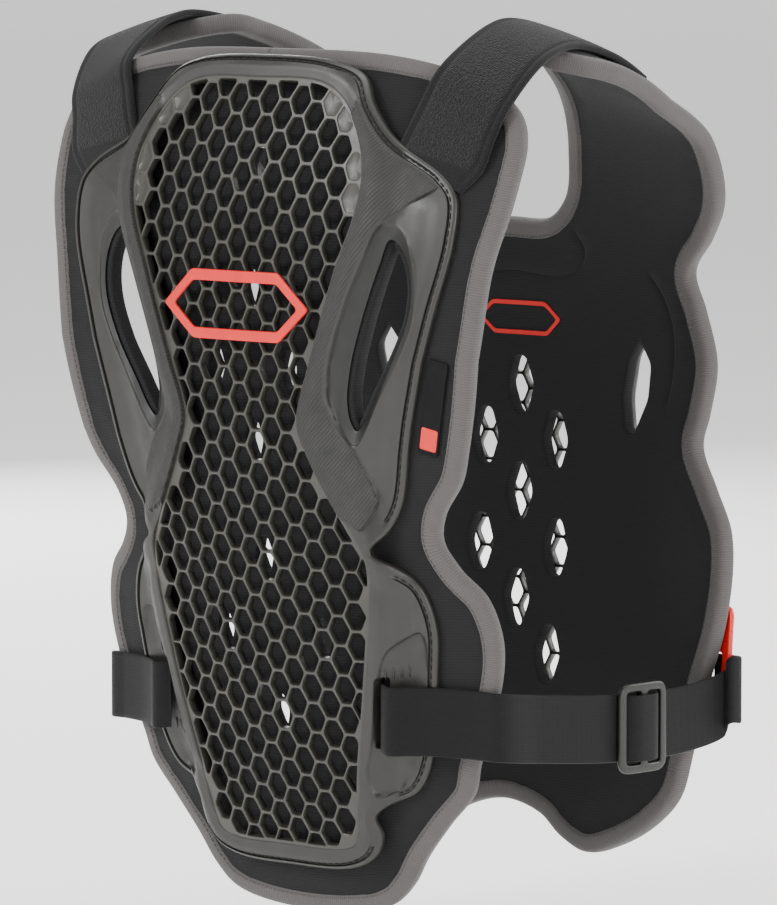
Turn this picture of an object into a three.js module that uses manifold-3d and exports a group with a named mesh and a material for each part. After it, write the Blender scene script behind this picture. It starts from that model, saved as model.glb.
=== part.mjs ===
// A rider's chest and back protector (roost deflector), worn over the shoulders.
// Two padded panels with bound edges carry moulded plates with honeycomb grilles, and are joined
// by two shoulder straps and two elastic waist straps with slider buckles and hooks.
// Millimetres, +Z up, the wearer faces -Y, and +X is the wearer's left. The origin is midway
// between the shoulders, where the back panel's wings rest on them.
import * as THREE from "three";
import { mergeVertices } from "three/addons/utils/BufferGeometryUtils.js";
import Module from "manifold-3d";

const wasm = await Module();
wasm.setup();

// Overall sizes
const FRONT_HEIGHT = 524; // along the chest panel's centre line
const FRONT_HALF_WIDTH = 182; // from the centre line to the shoulder corner, along the panel
const FRONT_TOP_Z = 0;
const BACK_HEIGHT = 640; // up the back and forwards over the shoulder
const BACK_HALF_WIDTH = 189;
const BACK_TOP_Z = 6;
const CHEST_DEPTH = 240; // between the two panels' inner faces
const BACK_CENTRE_Y = 138; // from the origin back to the back panel's inner face

// Walls
const PAD = 9; // foam and cloth
const BINDING_WIDTH = 12;
const BINDING_PROUD = 1.2; // how far the bound edge stands over each face of the foam
const RIM = 3.2; // the moulded plate at its outer rim
const PLATE_WALL = 3;
const FRONT_RAISE = 9; // how far the plate climbs from its rim to the grille
const BACK_RAISE = 6;
const PLATE_FLANK = 22; // width of the slope between the grille and the rim
const GRILLE_DEPTH = 8;
const GAP = 0.5; // between pieces that touch
const SEAT = 0.35; // under a buckle that sits on its strap

// Grille: each opening here stands for four of the real ones
const CELL_ACROSS = 23.2; // from one column of cells to the next
const CELL_UP = 34.4; // from one cell to the next in its column
const CELL_WALL = 5;
const CELL_FLAT = 0.42; // length of a cell's flat top, as a share of its width
const GRILLE_EDGE = 5; // solid edge round the cells
const CELL_SLIVER = 0.2; // a cell that the edge cuts below this share of its size stays closed

// Straps and fittings
const SHOULDER_STRAP_THICK = 4;
const WAIST_STRAP = 40;
const WAIST_STRAP_THICK = 1.8;
const BUCKLE_LENGTH = 40;
const BUCKLE_BAR = 5.5;
const BUCKLE_THICK = 3.2;
const BUCKLE_CLEAR = 1.2; // beside the strap, at each end of the slots
const HOOK_WIDTH = 34;
const HOOK_TAB = 22; // the finger tab over the strap
const HOOK_THICK = 4;
const HOOK_BAR = 6;
const HOOK_ACROSS = 0.82;
const BADGE_WIDTH = 108;
const BADGE_HEIGHT = 40;
const BADGE_BAND = 6.5;
const BADGE_THICK = 1.6;
const BADGE_UP = 0.71 * FRONT_HEIGHT;
const LABEL_WIDTH = 13;
const LABEL_HEIGHT = 56;
const LABEL_THICK = 1;
const LABEL_CENTRE = { across: 0.7115, up: 0.607, lean: 13 }; // shares of the half width and height

// Each shoulder strap, from the chest plate's shoulder back over the wing. in and out are its
// edges towards the neck and the arm: across and up as in the outlines, height over the panel's
// inner face as a share of the foam's thickness.
const SHOULDER_PATH = {
  columns: ["panel", "inAcross", "inUp", "outAcross", "outUp", "height"],
  rows: [
    ["front", 0.57, 0.912, 0.855, 0.868, 1.067],
    ["front", 0.605, 0.945, 0.88, 0.906, 1.267],
    ["front", 0.635, 0.975, 0.905, 0.936, 1.4],
    ["back", 0.63, 0.975, 0.915, 0.985, 0.944],
    ["back", 0.625, 0.94, 0.9, 0.945, 1.333],
    ["back", 0.62, 0.91, 0.885, 0.91, 1.244],
    ["back", 0.615, 0.86, 0.88, 0.86, 1.2],
    ["back", 0.615, 0.83, 0.88, 0.83, 1.2],
    ["back", 0.615, 0.8, 0.88, 0.8, 1.2],
  ],
};
// Each waist strap from the slot in the chest plate round to the hook: on a panel, across is a
// share of its half width and height is as above; in the open, out is a share of the back panel's
// half width, back the share of the way from the chest panel to the back panel, and drop a share
// of the strap's width.
const WAIST_Z = FRONT_TOP_Z - 0.7405 * FRONT_HEIGHT;
const WAIST_FRONT = {
  columns: ["across", "height"],
  rows: [
    [0.435, 2.167],
    [0.472, 2.778],
    [0.52, 2.333],
    [0.6, 1.844],
    [0.72, 1.556],
    [0.81, 1.467],
  ],
};
const WAIST_OPEN = {
  columns: ["out", "back", "drop"],
  rows: [
    [0.815, 0.28, 0.2],
    [0.862, 0.52, 0.325],
    [0.894, 0.78, 0.325],
    [0.923, 0.91, 0.15],
  ],
};
const WAIST_BACK = {
  columns: ["across", "height"],
  rows: [
    [0.948, 0.889],
    [0.942, 1.667],
    [0.912, 2],
    [0.87, 1.889],
    [0.835, 1.444],
  ],
};
const BUCKLE_PLACE = 0.62; // share of the waist strap's length from the chest plate

// Fineness of the faceted panels
const CELL = 38;
const WING_CELL = 23;
const SHOULDER_START = 530; // up a panel, where the back panel starts to bend over the shoulder
const EDGE_TOLERANCE = 1; // between a smooth outline and its straight sides
const SNAP = 0.02; // corners closer than this are one
const ON_CUT = 0.0005; // corners closer than this to a grid line were made by its cut
const MERGE = 0.002;

// Side profile of each panel's inner face on the centre line, from the bottom up.
// out: forwards of the back's centre or back from it, share of the chest depth;
// up: share of the panel's height; wrap: radius that the panel bends to round the body, share of
// the chest depth.
const FRONT_PROFILE = {
  columns: ["out", "up", "wrap"],
  rows: [
    [0.78, 0.0, 1.875],
    [0.89, 0.236, 1.875],
    [0.952, 0.425, 1.875],
    [0.988, 0.549, 3.75],
    [1.0, 0.655, 6.25],
    [1.0, 0.803, 3.542],
    [0.947, 0.917, 2.75],
    [0.885, 1.0, 2.583],
  ],
};
// back: behind the origin, share of the back panel's centre distance; up: height share
const BACK_PROFILE = {
  columns: ["back", "up", "wrap"],
  rows: [
    [0.87, 0.0, 2.708],
    [0.942, 0.18, 2.708],
    [0.992, 0.382, 2.708],
    [1.0, 0.583, 2.917],
    [0.884, 0.784, 3.25],
    [0.7, 0.896, 2.708],
    [0.43, 0.958, 2.167],
    [0.14, 0.997, 2.167],
    [-0.15, 1.011, 2.167],
    [-0.46, 1.0, 2.167],
  ],
};
const FRONT_FALL = 0.9924 * FRONT_HEIGHT; // from the chest panel's top down to its lowest profile point
const BACK_RISE = 0.78125 * BACK_HEIGHT; // from the back panel's lowest profile point up to BACK_TOP_Z

// Outlines. Each row is a point on the right half; across: share of the half width,
// up: share of the height along the panel.
const FRONT_EDGE = {
  columns: ["across", "up"],
  rows: [
    [0, 0.993],
    [0.44, 0.992],
    [0.69, 0.98],
    [0.85, 0.962],
    [0.93, 0.938],
    [0.965, 0.905],
    [0.965, 0.865],
    [0.95, 0.821],
    [0.905, 0.754],
    [0.872, 0.675],
    [0.83, 0.593],
    [0.77, 0.525],
    [0.682, 0.481],
    [0.662, 0.451],
    [0.705, 0.421],
    [0.79, 0.388],
    [0.828, 0.34],
    [0.812, 0.291],
    [0.757, 0.239],
    [0.707, 0.194],
    [0.675, 0.161],
    [0.575, 0.124],
    [0.478, 0.085],
    [0.408, 0.05],
    [0.32, 0.026],
    [0, 0.013],
  ],
};
const BACK_EDGE = {
  columns: ["across", "up"],
  rows: [
    [0.0, 0.595],
    [0.16, 0.597],
    [0.26, 0.622],
    [0.32, 0.672],
    [0.375, 0.724],
    [0.45, 0.79],
    [0.51, 0.86],
    [0.52, 0.905],
    [0.6, 0.925],
    [0.74, 0.944],
    [0.86, 0.952],
    [0.94, 0.935],
    [0.985, 0.895],
    [1.0, 0.84],
    [0.995, 0.7],
    [0.955, 0.634],
    [0.862, 0.59],
    [0.765, 0.555],
    [0.8, 0.52],
    [0.84, 0.47],
    [0.8, 0.42],
    [0.77, 0.39],
    [0.84, 0.353],
    [0.92, 0.315],
    [0.935, 0.28],
    [0.905, 0.22],
    [0.84, 0.165],
    [0.79, 0.105],
    [0.745, 0.06],
    [0.64, 0.03],
    [0.49, 0.007],
    [0.36, -0.003],
    [0.25, 0.008],
    [0.15, 0.028],
    [0.0, 0.038],
  ],
};
const FRONT_PLATE_EDGE = {
  columns: ["across", "up"],
  rows: [
    [0.0, 0.98],
    [0.26, 0.976],
    [0.385, 0.963],
    [0.455, 0.929],
    [0.545, 0.895],
    [0.72, 0.862],
    [0.782, 0.838],
    [0.788, 0.785],
    [0.725, 0.703],
    [0.64, 0.596],
    [0.565, 0.499],
    [0.505, 0.467],
    [0.45, 0.446],
    [0.515, 0.428],
    [0.59, 0.402],
    [0.628, 0.359],
    [0.618, 0.309],
    [0.563, 0.204],
    [0.5, 0.168],
    [0.39, 0.151],
    [0.358, 0.141],
    [0.365, 0.117],
    [0.33, 0.092],
    [0.23, 0.076],
    [0.0, 0.073],
  ],
};
const FRONT_GRILLE_EDGE = {
  columns: ["across", "up"],
  rows: [
    [0, 0.956],
    [0.27, 0.952],
    [0.38, 0.927],
    [0.475, 0.866],
    [0.475, 0.815],
    [0.4, 0.744],
    [0.305, 0.647],
    [0.25, 0.586],
    [0.285, 0.55],
    [0.39, 0.477],
    [0.445, 0.436],
    [0.445, 0.397],
    [0.4, 0.296],
    [0.34, 0.194],
    [0.3, 0.122],
    [0.27, 0.102],
    [0.0, 0.097],
  ],
};
const FRONT_WINDOW_EDGE = {
  columns: ["across", "up"],
  rows: [
    [0.56, 0.81],
    [0.625, 0.795],
    [0.645, 0.749],
    [0.628, 0.703],
    [0.56, 0.652],
    [0.45, 0.589],
    [0.4, 0.583],
    [0.378, 0.613],
    [0.42, 0.693],
    [0.475, 0.775],
  ],
};
const BACK_PLATE_EDGE = {
  columns: ["across", "up"],
  rows: [
    [0.0, 0.56],
    [0.33, 0.556],
    [0.45, 0.53],
    [0.62, 0.5],
    [0.68, 0.47],
    [0.665, 0.42],
    [0.6, 0.34],
    [0.5, 0.285],
    [0.52, 0.26],
    [0.66, 0.238],
    [0.71, 0.208],
    [0.7, 0.145],
    [0.63, 0.112],
    [0.48, 0.085],
    [0.36, 0.065],
    [0.0, 0.06],
  ],
};
const BACK_GRILLE_EDGE = {
  columns: ["across", "up"],
  rows: [
    [0.0, 0.535],
    [0.27, 0.532],
    [0.345, 0.5],
    [0.34, 0.455],
    [0.265, 0.37],
    [0.275, 0.315],
    [0.325, 0.265],
    [0.32, 0.2],
    [0.265, 0.12],
    [0.23, 0.09],
    [0.0, 0.085],
  ],
};
const BACK_WINDOW_EDGE = {
  columns: ["across", "up"],
  rows: [
    [0.52, 0.492],
    [0.575, 0.465],
    [0.555, 0.43],
    [0.485, 0.393],
    [0.44, 0.398],
    [0.43, 0.43],
    [0.46, 0.465],
  ],
};
// Air vents through the foam, down the middle of each panel; across and up as above.
const BACK_VENTS = {
  columns: ["across", "up"],
  rows: [
    [0.0, 0.435],
    [0.145, 0.384],
    [0.0, 0.333],
    [0.155, 0.282],
    [0.0, 0.231],
    [0.14, 0.18],
  ],
};
const FRONT_VENTS = {
  columns: ["across", "up"],
  rows: [
    [0, 0.86],
    [0, 0.73],
    [0.15, 0.64],
    [0, 0.56],
    [0, 0.43],
    [0.2, 0.34],
    [0, 0.25],
  ],
};
const VENT_WIDTH = 20;
const VENT_HEIGHT = 35;
const PAD_WINDOW_INSET = 4; // the foam's window is this much smaller than the plate's, all round

const matrixRows = (table) =>
  table.rows.map((row) => Object.fromEntries(table.columns.map((name, i) => [name, row[i]])));

// A panel's inner face: a side profile that wraps round the body. at(u, v, h) is the point u along
// the panel from the centre line, v up the profile and h outwards from the inner face.
class PanelFace {
  constructor(profile, outward) {
    this.outward = outward;
    this.curve = new THREE.CatmullRomCurve3(
      profile.map((p) => new THREE.Vector3(0, p.y, p.z)),
      false,
      "centripetal",
    );
    this.curve.arcLengthDivisions = 400;
    this.length = this.curve.getLength();
    this.bends = profile.map((p) => 1 / p.wrap);
  }

  wrapAt(share) {
    const t = THREE.MathUtils.clamp(this.curve.getUtoTmapping(share), 0, 1) * (this.bends.length - 1);
    const i = Math.min(Math.floor(t), this.bends.length - 2);
    return 1 / THREE.MathUtils.lerp(this.bends[i], this.bends[i + 1], t - i);
  }

  at(u, v, h) {
    const share = THREE.MathUtils.clamp(v / this.length, 0, 1);
    const along = this.curve.getTangentAt(share);
    const centre = this.curve.getPointAt(share).addScaledVector(along, v - share * this.length);
    const out = new THREE.Vector3(0, this.outward * along.z, -this.outward * along.y);
    const radius = this.wrapAt(share);
    const angle = u / radius;
    centre.addScaledVector(out, (radius + h) * Math.cos(angle) - radius);
    centre.x = (radius + h) * Math.sin(angle);
    return centre;
  }
}

const frontFace = new PanelFace(
  matrixRows(FRONT_PROFILE).map(({ out, up, wrap }) => ({
    y: BACK_CENTRE_Y - CHEST_DEPTH * out,
    z: FRONT_TOP_Z - FRONT_FALL * (1 - up),
    wrap: wrap * CHEST_DEPTH,
  })),
  -1,
);
const backFace = new PanelFace(
  matrixRows(BACK_PROFILE).map(({ back, up, wrap }) => ({
    y: BACK_CENTRE_Y * back,
    z: BACK_TOP_Z - BACK_RISE * (1 - up),
    wrap: wrap * CHEST_DEPTH,
  })),
  1,
);

// The points of a table, in mm on the flat panel.
const pointsOf = (table, halfWidth, height) =>
  matrixRows(table).map(({ across, up }) => new THREE.Vector2(across * halfWidth, up * height));

// A smooth closed outline through points, anticlockwise, with as few corners as keep it within
// tolerance of the curve.
function smoothLoop(points, tolerance = EDGE_TOLERANCE) {
  const curve = new THREE.CatmullRomCurve3(
    points.map((p) => new THREE.Vector3(p.x, p.y, 0)),
    true,
    "centripetal",
  );
  const loop = curve.getPoints(8 * points.length).slice(0, -1);
  const flat = loop.map((p) => new THREE.Vector2(p.x, p.y));
  if (THREE.ShapeUtils.isClockWise(flat)) flat.reverse();
  const half = Math.floor(flat.length / 2);
  const first = simplified(flat.slice(0, half + 1), tolerance);
  const second = simplified([...flat.slice(half), flat[0]], tolerance);
  return divided([...first.slice(0, -1), ...second.slice(0, -1)]);
}

// An outline with its long sides divided, more finely where the panel bends over the shoulder.
function divided(loop) {
  return loop.flatMap((p, i) => {
    const next = loop[(i + 1) % loop.length];
    const longest = Math.max(p.y, next.y) > SHOULDER_START ? WING_CELL : CELL;
    const parts = Math.ceil(p.distanceTo(next) / longest);
    return Array.from({ length: parts }, (_, k) => p.clone().lerp(next, k / parts));
  });
}

// A run of points without those that lie within tolerance of the line through the rest.
function simplified(run, tolerance) {
  const start = run[0];
  const end = run[run.length - 1];
  const length = start.distanceTo(end);
  const chord = end.clone().sub(start);
  const off = run.map((p) => Math.abs(p.clone().sub(start).cross(chord)) / length);
  const furthest = off.indexOf(Math.max(...off));
  if (off[furthest] < tolerance) return [start, end];
  const before = simplified(run.slice(0, furthest + 1), tolerance);
  return [...before.slice(0, -1), ...simplified(run.slice(furthest), tolerance)];
}

// The whole outline from its right half, which starts and ends on the centre line.
function mirroredLoop(table, halfWidth, height, tolerance) {
  const half = pointsOf(table, halfWidth, height);
  const left = half.slice(1, -1).reverse().map((p) => new THREE.Vector2(-p.x, p.y));
  return smoothLoop([...half, ...left], tolerance);
}

// An outline moved inwards by distance (outwards if it is negative).
function inset(loop, distance) {
  return loop.map((p, i) => {
    const before = loop[(i + loop.length - 1) % loop.length];
    const after = loop[(i + 1) % loop.length];
    const arriving = p.clone().sub(before).normalize();
    const leaving = after.clone().sub(p).normalize();
    const mitre = distance / (1 + arriving.dot(leaving));
    const along = arriving.add(leaving).multiplyScalar(mitre);
    return new THREE.Vector2(p.x - along.y, p.y + along.x);
  });
}

const mirror = (loop) => loop.map((p) => new THREE.Vector2(-p.x, p.y)).reverse();

// A hexagon with a point at each side and a flat top and bottom, as the vents and cells have.
function hexagon(centre, width, height) {
  const corners = [
    [0.5, 0],
    [CELL_FLAT / 2, 0.5],
    [-CELL_FLAT / 2, 0.5],
    [-0.5, 0],
    [-CELL_FLAT / 2, -0.5],
    [CELL_FLAT / 2, -0.5],
  ];
  return corners.map(([x, y]) => new THREE.Vector2(centre.x + x * width, centre.y + y * height));
}

function manifoldOf(geometry) {
  const bare = geometry.index ? geometry.toNonIndexed() : geometry.clone();
  for (const name of Object.keys(bare.attributes)) {
    if (name !== "position") bare.deleteAttribute(name);
  }
  const merged = mergeVertices(bare, 1e-4);
  return new wasm.Manifold(
    new wasm.Mesh({
      numProp: 3,
      vertProperties: new Float32Array(merged.attributes.position.array),
      triVerts: new Uint32Array(merged.index.array),
    }),
  );
}

function extruded(loop, holes, depth) {
  const shape = new THREE.Shape(loop);
  shape.holes = holes.map((hole) => new THREE.Path(hole));
  return new THREE.ExtrudeGeometry(shape, { depth, bevelEnabled: false });
}

// A flat prism of unit depth: u and v across the panel, and 0 to 1 through its wall.
const prism = (loop, holes = []) => manifoldOf(extruded(loop, holes, 1));

// Lines across a panel, off the centre so that no edge lies along one.
function gridLines(low, high, step) {
  const lines = [];
  for (let at = low + 0.37 * step; at < high; at += step) lines.push(at);
  return lines;
}

// Cuts solids along each line square to normal; the parts stay apart.
function sliced(solids, normal, lines) {
  return lines.reduce(
    (pieces, at) =>
      pieces.flatMap((piece) => piece.splitByPlane(normal, at)).filter((piece) => !piece.isEmpty()),
    solids,
  );
}

// Moves each line a little, to where it passes furthest from the solid's corners.
function settled(ats, corners, axis) {
  const steps = Array.from({ length: 25 }, (_, i) => (i - 12) * 0.25);
  const clearance = (at) => Math.min(...corners.map((corner) => Math.abs(corner[axis] - at)));
  return ats.map((at) => {
    const places = steps.map((step) => at + step);
    return places.reduce((best, place) => (clearance(place) > clearance(best) ? place : best));
  });
}

// Splits each flat triangle that has another's corner on an edge that lies along a grid line, so
// that the triangles on the two sides of the line share all their corners.
function stitched(triangles, lines) {
  const corners = triangles.flat();
  const rows = lines.flatMap((ats, axis) =>
    ats.map((at) => ({ axis, at, along: corners.filter((corner) => corner[axis] === at) })),
  );
  const split = (triangle) => {
    for (let k = 0; k < 3; k += 1) {
      const [a, b, c] = [0, 1, 2].map((i) => triangle[(k + i) % 3]);
      const row = rows.find(({ axis, at }) => a[axis] === at && b[axis] === at);
      if (!row || a[2] !== b[2]) continue;
      const other = 1 - row.axis;
      const [from, to] = [Math.min(a[other], b[other]), Math.max(a[other], b[other])];
      const middle = row.along.find((p) => p[2] === a[2] && p[other] > from && p[other] < to);
      if (middle) return [...split([a, middle, c]), ...split([middle, b, c])];
    }
    return [triangle];
  };
  return triangles.flatMap(split);
}

// Cuts a flat solid along grid lines, bends it to a panel's face and returns its closed surface.
// low and high give the height of its two faces over the panel's inner face.
function bend(flat, face, low, high, acrossLines, upLines) {
  const corners = cornersOf(flat).flat();
  const lines = [acrossLines, upLines].map((ats, axis) => settled(ats, corners, axis));
  const strips = sliced([flat], [1, 0, 0], lines[0]);
  const pieces = sliced(strips, [0, 1, 0], lines[1]);
  const near = (corner, axis, at) => Math.abs(corner[axis] - at) < ON_CUT;
  const isCut = (triangle) =>
    lines.some((ats, axis) => ats.some((at) => triangle.every((corner) => near(corner, axis, at))));
  const snap = snapper(lines);
  const triangles = pieces.flatMap(cornersOf).filter((t) => !isCut(t)).map((t) => t.map(snap));
  const positions = stitched(triangles, lines).flat().flatMap(([u, v, depth]) => {
    const from = low(u, v);
    return face.at(u, v, from + depth * (high(u, v) - from)).toArray();
  });
  const geometry = new THREE.BufferGeometry();
  geometry.setAttribute("position", new THREE.Float32BufferAttribute(positions, 3));
  return closed(geometry);
}

// Puts points that lie within SNAP of a grid line on it, and gives points that lie within SNAP of
// each other the same place.
function snapper(lines) {
  const seen = new Map();
  return ([x, y, depth]) => {
    const [u, v] = [x, y].map((w, axis) => lines[axis].find((at) => Math.abs(at - w) < SNAP) ?? w);
    const [i, j] = [Math.round(u / SNAP), Math.round(v / SNAP)];
    for (const di of [0, -1, 1]) {
      for (const dj of [0, -1, 1]) {
        const found = seen.get(`${i + di},${j + dj}`);
        if (found) return [...found, depth];
      }
    }
    seen.set(`${i},${j}`, [u, v]);
    return [u, v, depth];
  };
}

// The triangles of a flat solid, as [u, v, depth] corners.
function cornersOf(solid) {
  const { numProp, vertProperties, triVerts } = solid.getMesh();
  const corners = Array.from(triVerts, (at) => {
    const [u, v, depth] = vertProperties.slice(at * numProp, at * numProp + 3);
    return [u, v, Math.round(depth)];
  });
  return Array.from({ length: corners.length / 3 }, (_, i) => corners.slice(3 * i, 3 * i + 3));
}

// Merges shared vertices and turns the faces outwards where the panel's face mirrored them.
function closed(geometry) {
  const merged = mergeVertices(geometry, MERGE);
  const index = merged.index.array;
  const kept = [];
  for (let i = 0; i < index.length; i += 3) {
    const [a, b, c] = [index[i], index[i + 1], index[i + 2]];
    if (a !== b && b !== c && c !== a) kept.push(a, b, c);
  }
  merged.setIndex(kept);
  if (signedVolume(merged) < 0) {
    for (let i = 0; i < kept.length; i += 3) [kept[i + 1], kept[i + 2]] = [kept[i + 2], kept[i + 1]];
    merged.setIndex(kept);
  }
  return merged;
}

function signedVolume(geometry) {
  const at = geometry.attributes.position;
  const corner = (i) => new THREE.Vector3().fromBufferAttribute(at, geometry.index.array[i]);
  let sum = 0;
  for (let i = 0; i < geometry.index.count; i += 3) {
    sum += corner(i).dot(corner(i + 1).cross(corner(i + 2)));
  }
  return sum / 6;
}

const level = (height) => () => height;

// A closed ring or bar lofted through sections, each an array of points in the same order.
function loft(sections, ring) {
  const count = sections[0].length;
  const positions = [];
  const quad = (a, b, c, d) => positions.push(...[a, b, c, a, c, d].flatMap((p) => p.toArray()));
  const last = ring ? sections.length : sections.length - 1;
  for (let i = 0; i < last; i += 1) {
    const here = sections[i];
    const next = sections[(i + 1) % sections.length];
    for (let k = 0; k < count; k += 1) {
      quad(here[k], here[(k + 1) % count], next[(k + 1) % count], next[k]);
    }
  }
  if (!ring) {
    const cap = (s, order) => {
      for (let k = 1; k < count - 1; k += 1) {
        const [a, b, c] = order ? [0, k, k + 1] : [0, k + 1, k];
        positions.push(...s[a].toArray(), ...s[b].toArray(), ...s[c].toArray());
      }
    };
    cap(sections[0], false);
    cap(sections[sections.length - 1], true);
  }
  const geometry = new THREE.BufferGeometry();
  geometry.setAttribute("position", new THREE.Float32BufferAttribute(positions, 3));
  return closed(geometry);
}

const FINISH = {
  foam: { color: 0x1c1c1e, roughness: 0.95, metalness: 0 },
  binding: { color: 0x807b7b, roughness: 0.85, metalness: 0 },
  plate: { color: 0x514f4a, roughness: 0.5, metalness: 0 },
  webbing: { color: 0x2a282b, roughness: 0.9, metalness: 0 },
  buckle: { color: 0x26251f, roughness: 0.45, metalness: 0 },
  red: { color: 0xe8412f, roughness: 0.5, metalness: 0 },
};
const group = new THREE.Group();

function add(name, geometry, finish) {
  geometry.computeVertexNormals();
  const mesh = new THREE.Mesh(geometry, new THREE.MeshStandardMaterial(FINISH[finish]));
  mesh.name = name;
  group.add(mesh);
}

// The bound edge: a rounded roll all round the outline, over both faces of the foam.
function binding(loop, face) {
  const rails = [
    [BINDING_WIDTH, -BINDING_PROUD],
    [0, BINDING_PROUD],
    [0, PAD - BINDING_PROUD],
    [BINDING_WIDTH, PAD + BINDING_PROUD],
  ].map(([inward, height]) => inset(loop, inward).map((p) => face.at(p.x, p.y, height)));
  return loft(loop.map((_, i) => rails.map((rail) => rail[i])), true);
}

function nearestDistance(loop, u, v) {
  let best = Infinity;
  loop.forEach((a, i) => {
    const b = loop[(i + 1) % loop.length];
    const length2 = (b.x - a.x) ** 2 + (b.y - a.y) ** 2;
    const along = ((u - a.x) * (b.x - a.x) + (v - a.y) * (b.y - a.y)) / length2;
    const t = THREE.MathUtils.clamp(along, 0, 1);
    best = Math.min(best, Math.hypot(u - a.x - t * (b.x - a.x), v - a.y - t * (b.y - a.y)));
  });
  return best;
}

// Height of a plate's outer face: highest at the grille, falling to the rim.
const plateTop = (grilleLoop, raise, fall) => (u, v) =>
  PAD + GAP + RIM + raise * (1 - THREE.MathUtils.smoothstep(nearestDistance(grilleLoop, u, v), 2, fall));

// The openings of a grille: columns of upright hexagons, each column half a cell off the last.
function grilleCells(loop) {
  const box = new THREE.Box2().setFromPoints(loop);
  const pitch = (2 * CELL_ACROSS) / (1 + CELL_FLAT);
  const slant = Math.hypot((1 - CELL_FLAT) * pitch, CELL_UP) / CELL_UP;
  const width = pitch - CELL_WALL * slant;
  const cells = [];
  const columns = Math.ceil(box.max.x / CELL_ACROSS);
  for (let column = -columns; column <= columns; column += 1) {
    const shift = column % 2 ? 0.5 : 0;
    for (let row = Math.floor(box.min.y / CELL_UP); row * CELL_UP < box.max.y + CELL_UP; row += 1) {
      const centre = new THREE.Vector2(column * CELL_ACROSS, (row + shift) * CELL_UP);
      cells.push(hexagon(centre, width, CELL_UP - CELL_WALL));
    }
  }
  return cells;
}

function grille(loop, face, raise) {
  const outer = inset(loop, GAP);
  const field = prism(inset(loop, GRILLE_EDGE));
  const cells = wasm.Manifold.union(grilleCells(loop).map((cell) => prism(cell)));
  const openings = field.intersect(cells).decompose();
  const smallest = CELL_SLIVER * CELL_ACROSS * CELL_UP;
  const clear = openings.filter((opening) => opening.volume() > smallest);
  const flat = prism(outer).subtract(wasm.Manifold.union(clear));
  const top = PAD + GAP + RIM + raise;
  return bend(flat, face, level(top - GRILLE_DEPTH), level(top), [], []);
}

// Front panel
const frontEdge = mirroredLoop(FRONT_EDGE, FRONT_HALF_WIDTH, FRONT_HEIGHT);
const frontGrilleEdge = mirroredLoop(FRONT_GRILLE_EDGE, FRONT_HALF_WIDTH, FRONT_HEIGHT);
const frontPlateEdge = mirroredLoop(FRONT_PLATE_EDGE, FRONT_HALF_WIDTH, FRONT_HEIGHT);
const frontWindow = smoothLoop(pointsOf(FRONT_WINDOW_EDGE, FRONT_HALF_WIDTH, FRONT_HEIGHT));
const frontTop = plateTop(frontGrilleEdge, FRONT_RAISE, PLATE_FLANK);

const bothSides = (table, halfWidth, height) =>
  pointsOf(table, halfWidth, height).flatMap((p) => (p.x ? [p, new THREE.Vector2(-p.x, p.y)] : [p]));
const vents = (table, halfWidth, height) =>
  bothSides(table, halfWidth, height).map((p) => hexagon(p, VENT_WIDTH, VENT_HEIGHT));
const span = (loop, axis) => [
  Math.min(...loop.map((p) => p[axis])),
  Math.max(...loop.map((p) => p[axis])),
];

function padSolid(edge, windowLoop, ventLoops, face, upLines) {
  const hole = inset(windowLoop, PAD_WINDOW_INSET);
  const flat = prism(inset(edge, BINDING_WIDTH + GAP), [hole, mirror(hole), ...ventLoops]);
  return bend(flat, face, level(0), level(PAD), gridLines(...span(edge, "x"), CELL), upLines);
}

function plateSolid(edge, opening, windowLoop, face, top, extra = []) {
  const flat = prism(edge, [opening, windowLoop, mirror(windowLoop), ...extra]);
  const low = (u, v) => Math.max(PAD + GAP, top(u, v) - PLATE_WALL);
  return bend(flat, face, low, top, gridLines(...span(edge, "x"), CELL), gridLines(...span(edge, "y"), CELL));
}

// Slots in the front plate's lower wings, where the waist straps are held.
const SLOT = { across: 0.425, up: 0.262, width: 7, lean: 6 };
const slotHeight = WAIST_STRAP + 2 * BUCKLE_CLEAR;
function strapSlot(side) {
  const x = SLOT.across * FRONT_HALF_WIDTH;
  const y = SLOT.up * FRONT_HEIGHT;
  const corners = [
    [x + SLOT.width / 2 + SLOT.lean / 2, y + slotHeight / 2],
    [x - SLOT.width / 2 + SLOT.lean / 2, y + slotHeight / 2],
    [x - SLOT.width / 2 - SLOT.lean / 2, y - slotHeight / 2],
    [x + SLOT.width / 2 - SLOT.lean / 2, y - slotHeight / 2],
  ].map(([u, v]) => new THREE.Vector2(u, v));
  return side > 0 ? corners : mirror(corners);
}

add(
  "front_pad",
  padSolid(
    frontEdge,
    frontWindow,
    vents(FRONT_VENTS, FRONT_HALF_WIDTH, FRONT_HEIGHT),
    frontFace,
    gridLines(0, FRONT_HEIGHT, CELL),
  ),
  "foam",
);
add("front_binding", binding(frontEdge, frontFace), "binding");
add(
  "front_plate",
  plateSolid(frontPlateEdge, frontGrilleEdge, frontWindow, frontFace, frontTop, [
    strapSlot(1),
    strapSlot(-1),
  ]),
  "plate",
);
add("front_grille", grille(frontGrilleEdge, frontFace, FRONT_RAISE), "plate");

// Back panel
const backEdge = mirroredLoop(BACK_EDGE, BACK_HALF_WIDTH, BACK_HEIGHT);
const backGrilleEdge = mirroredLoop(BACK_GRILLE_EDGE, BACK_HALF_WIDTH, BACK_HEIGHT);
const backPlateEdge = mirroredLoop(BACK_PLATE_EDGE, BACK_HALF_WIDTH, BACK_HEIGHT);
const backWindow = smoothLoop(pointsOf(BACK_WINDOW_EDGE, BACK_HALF_WIDTH, BACK_HEIGHT));
const backTop = plateTop(backGrilleEdge, BACK_RAISE, PLATE_FLANK);
const backUpLines = [
  ...gridLines(0, SHOULDER_START, CELL),
  ...gridLines(SHOULDER_START, BACK_HEIGHT, WING_CELL),
];

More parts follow.
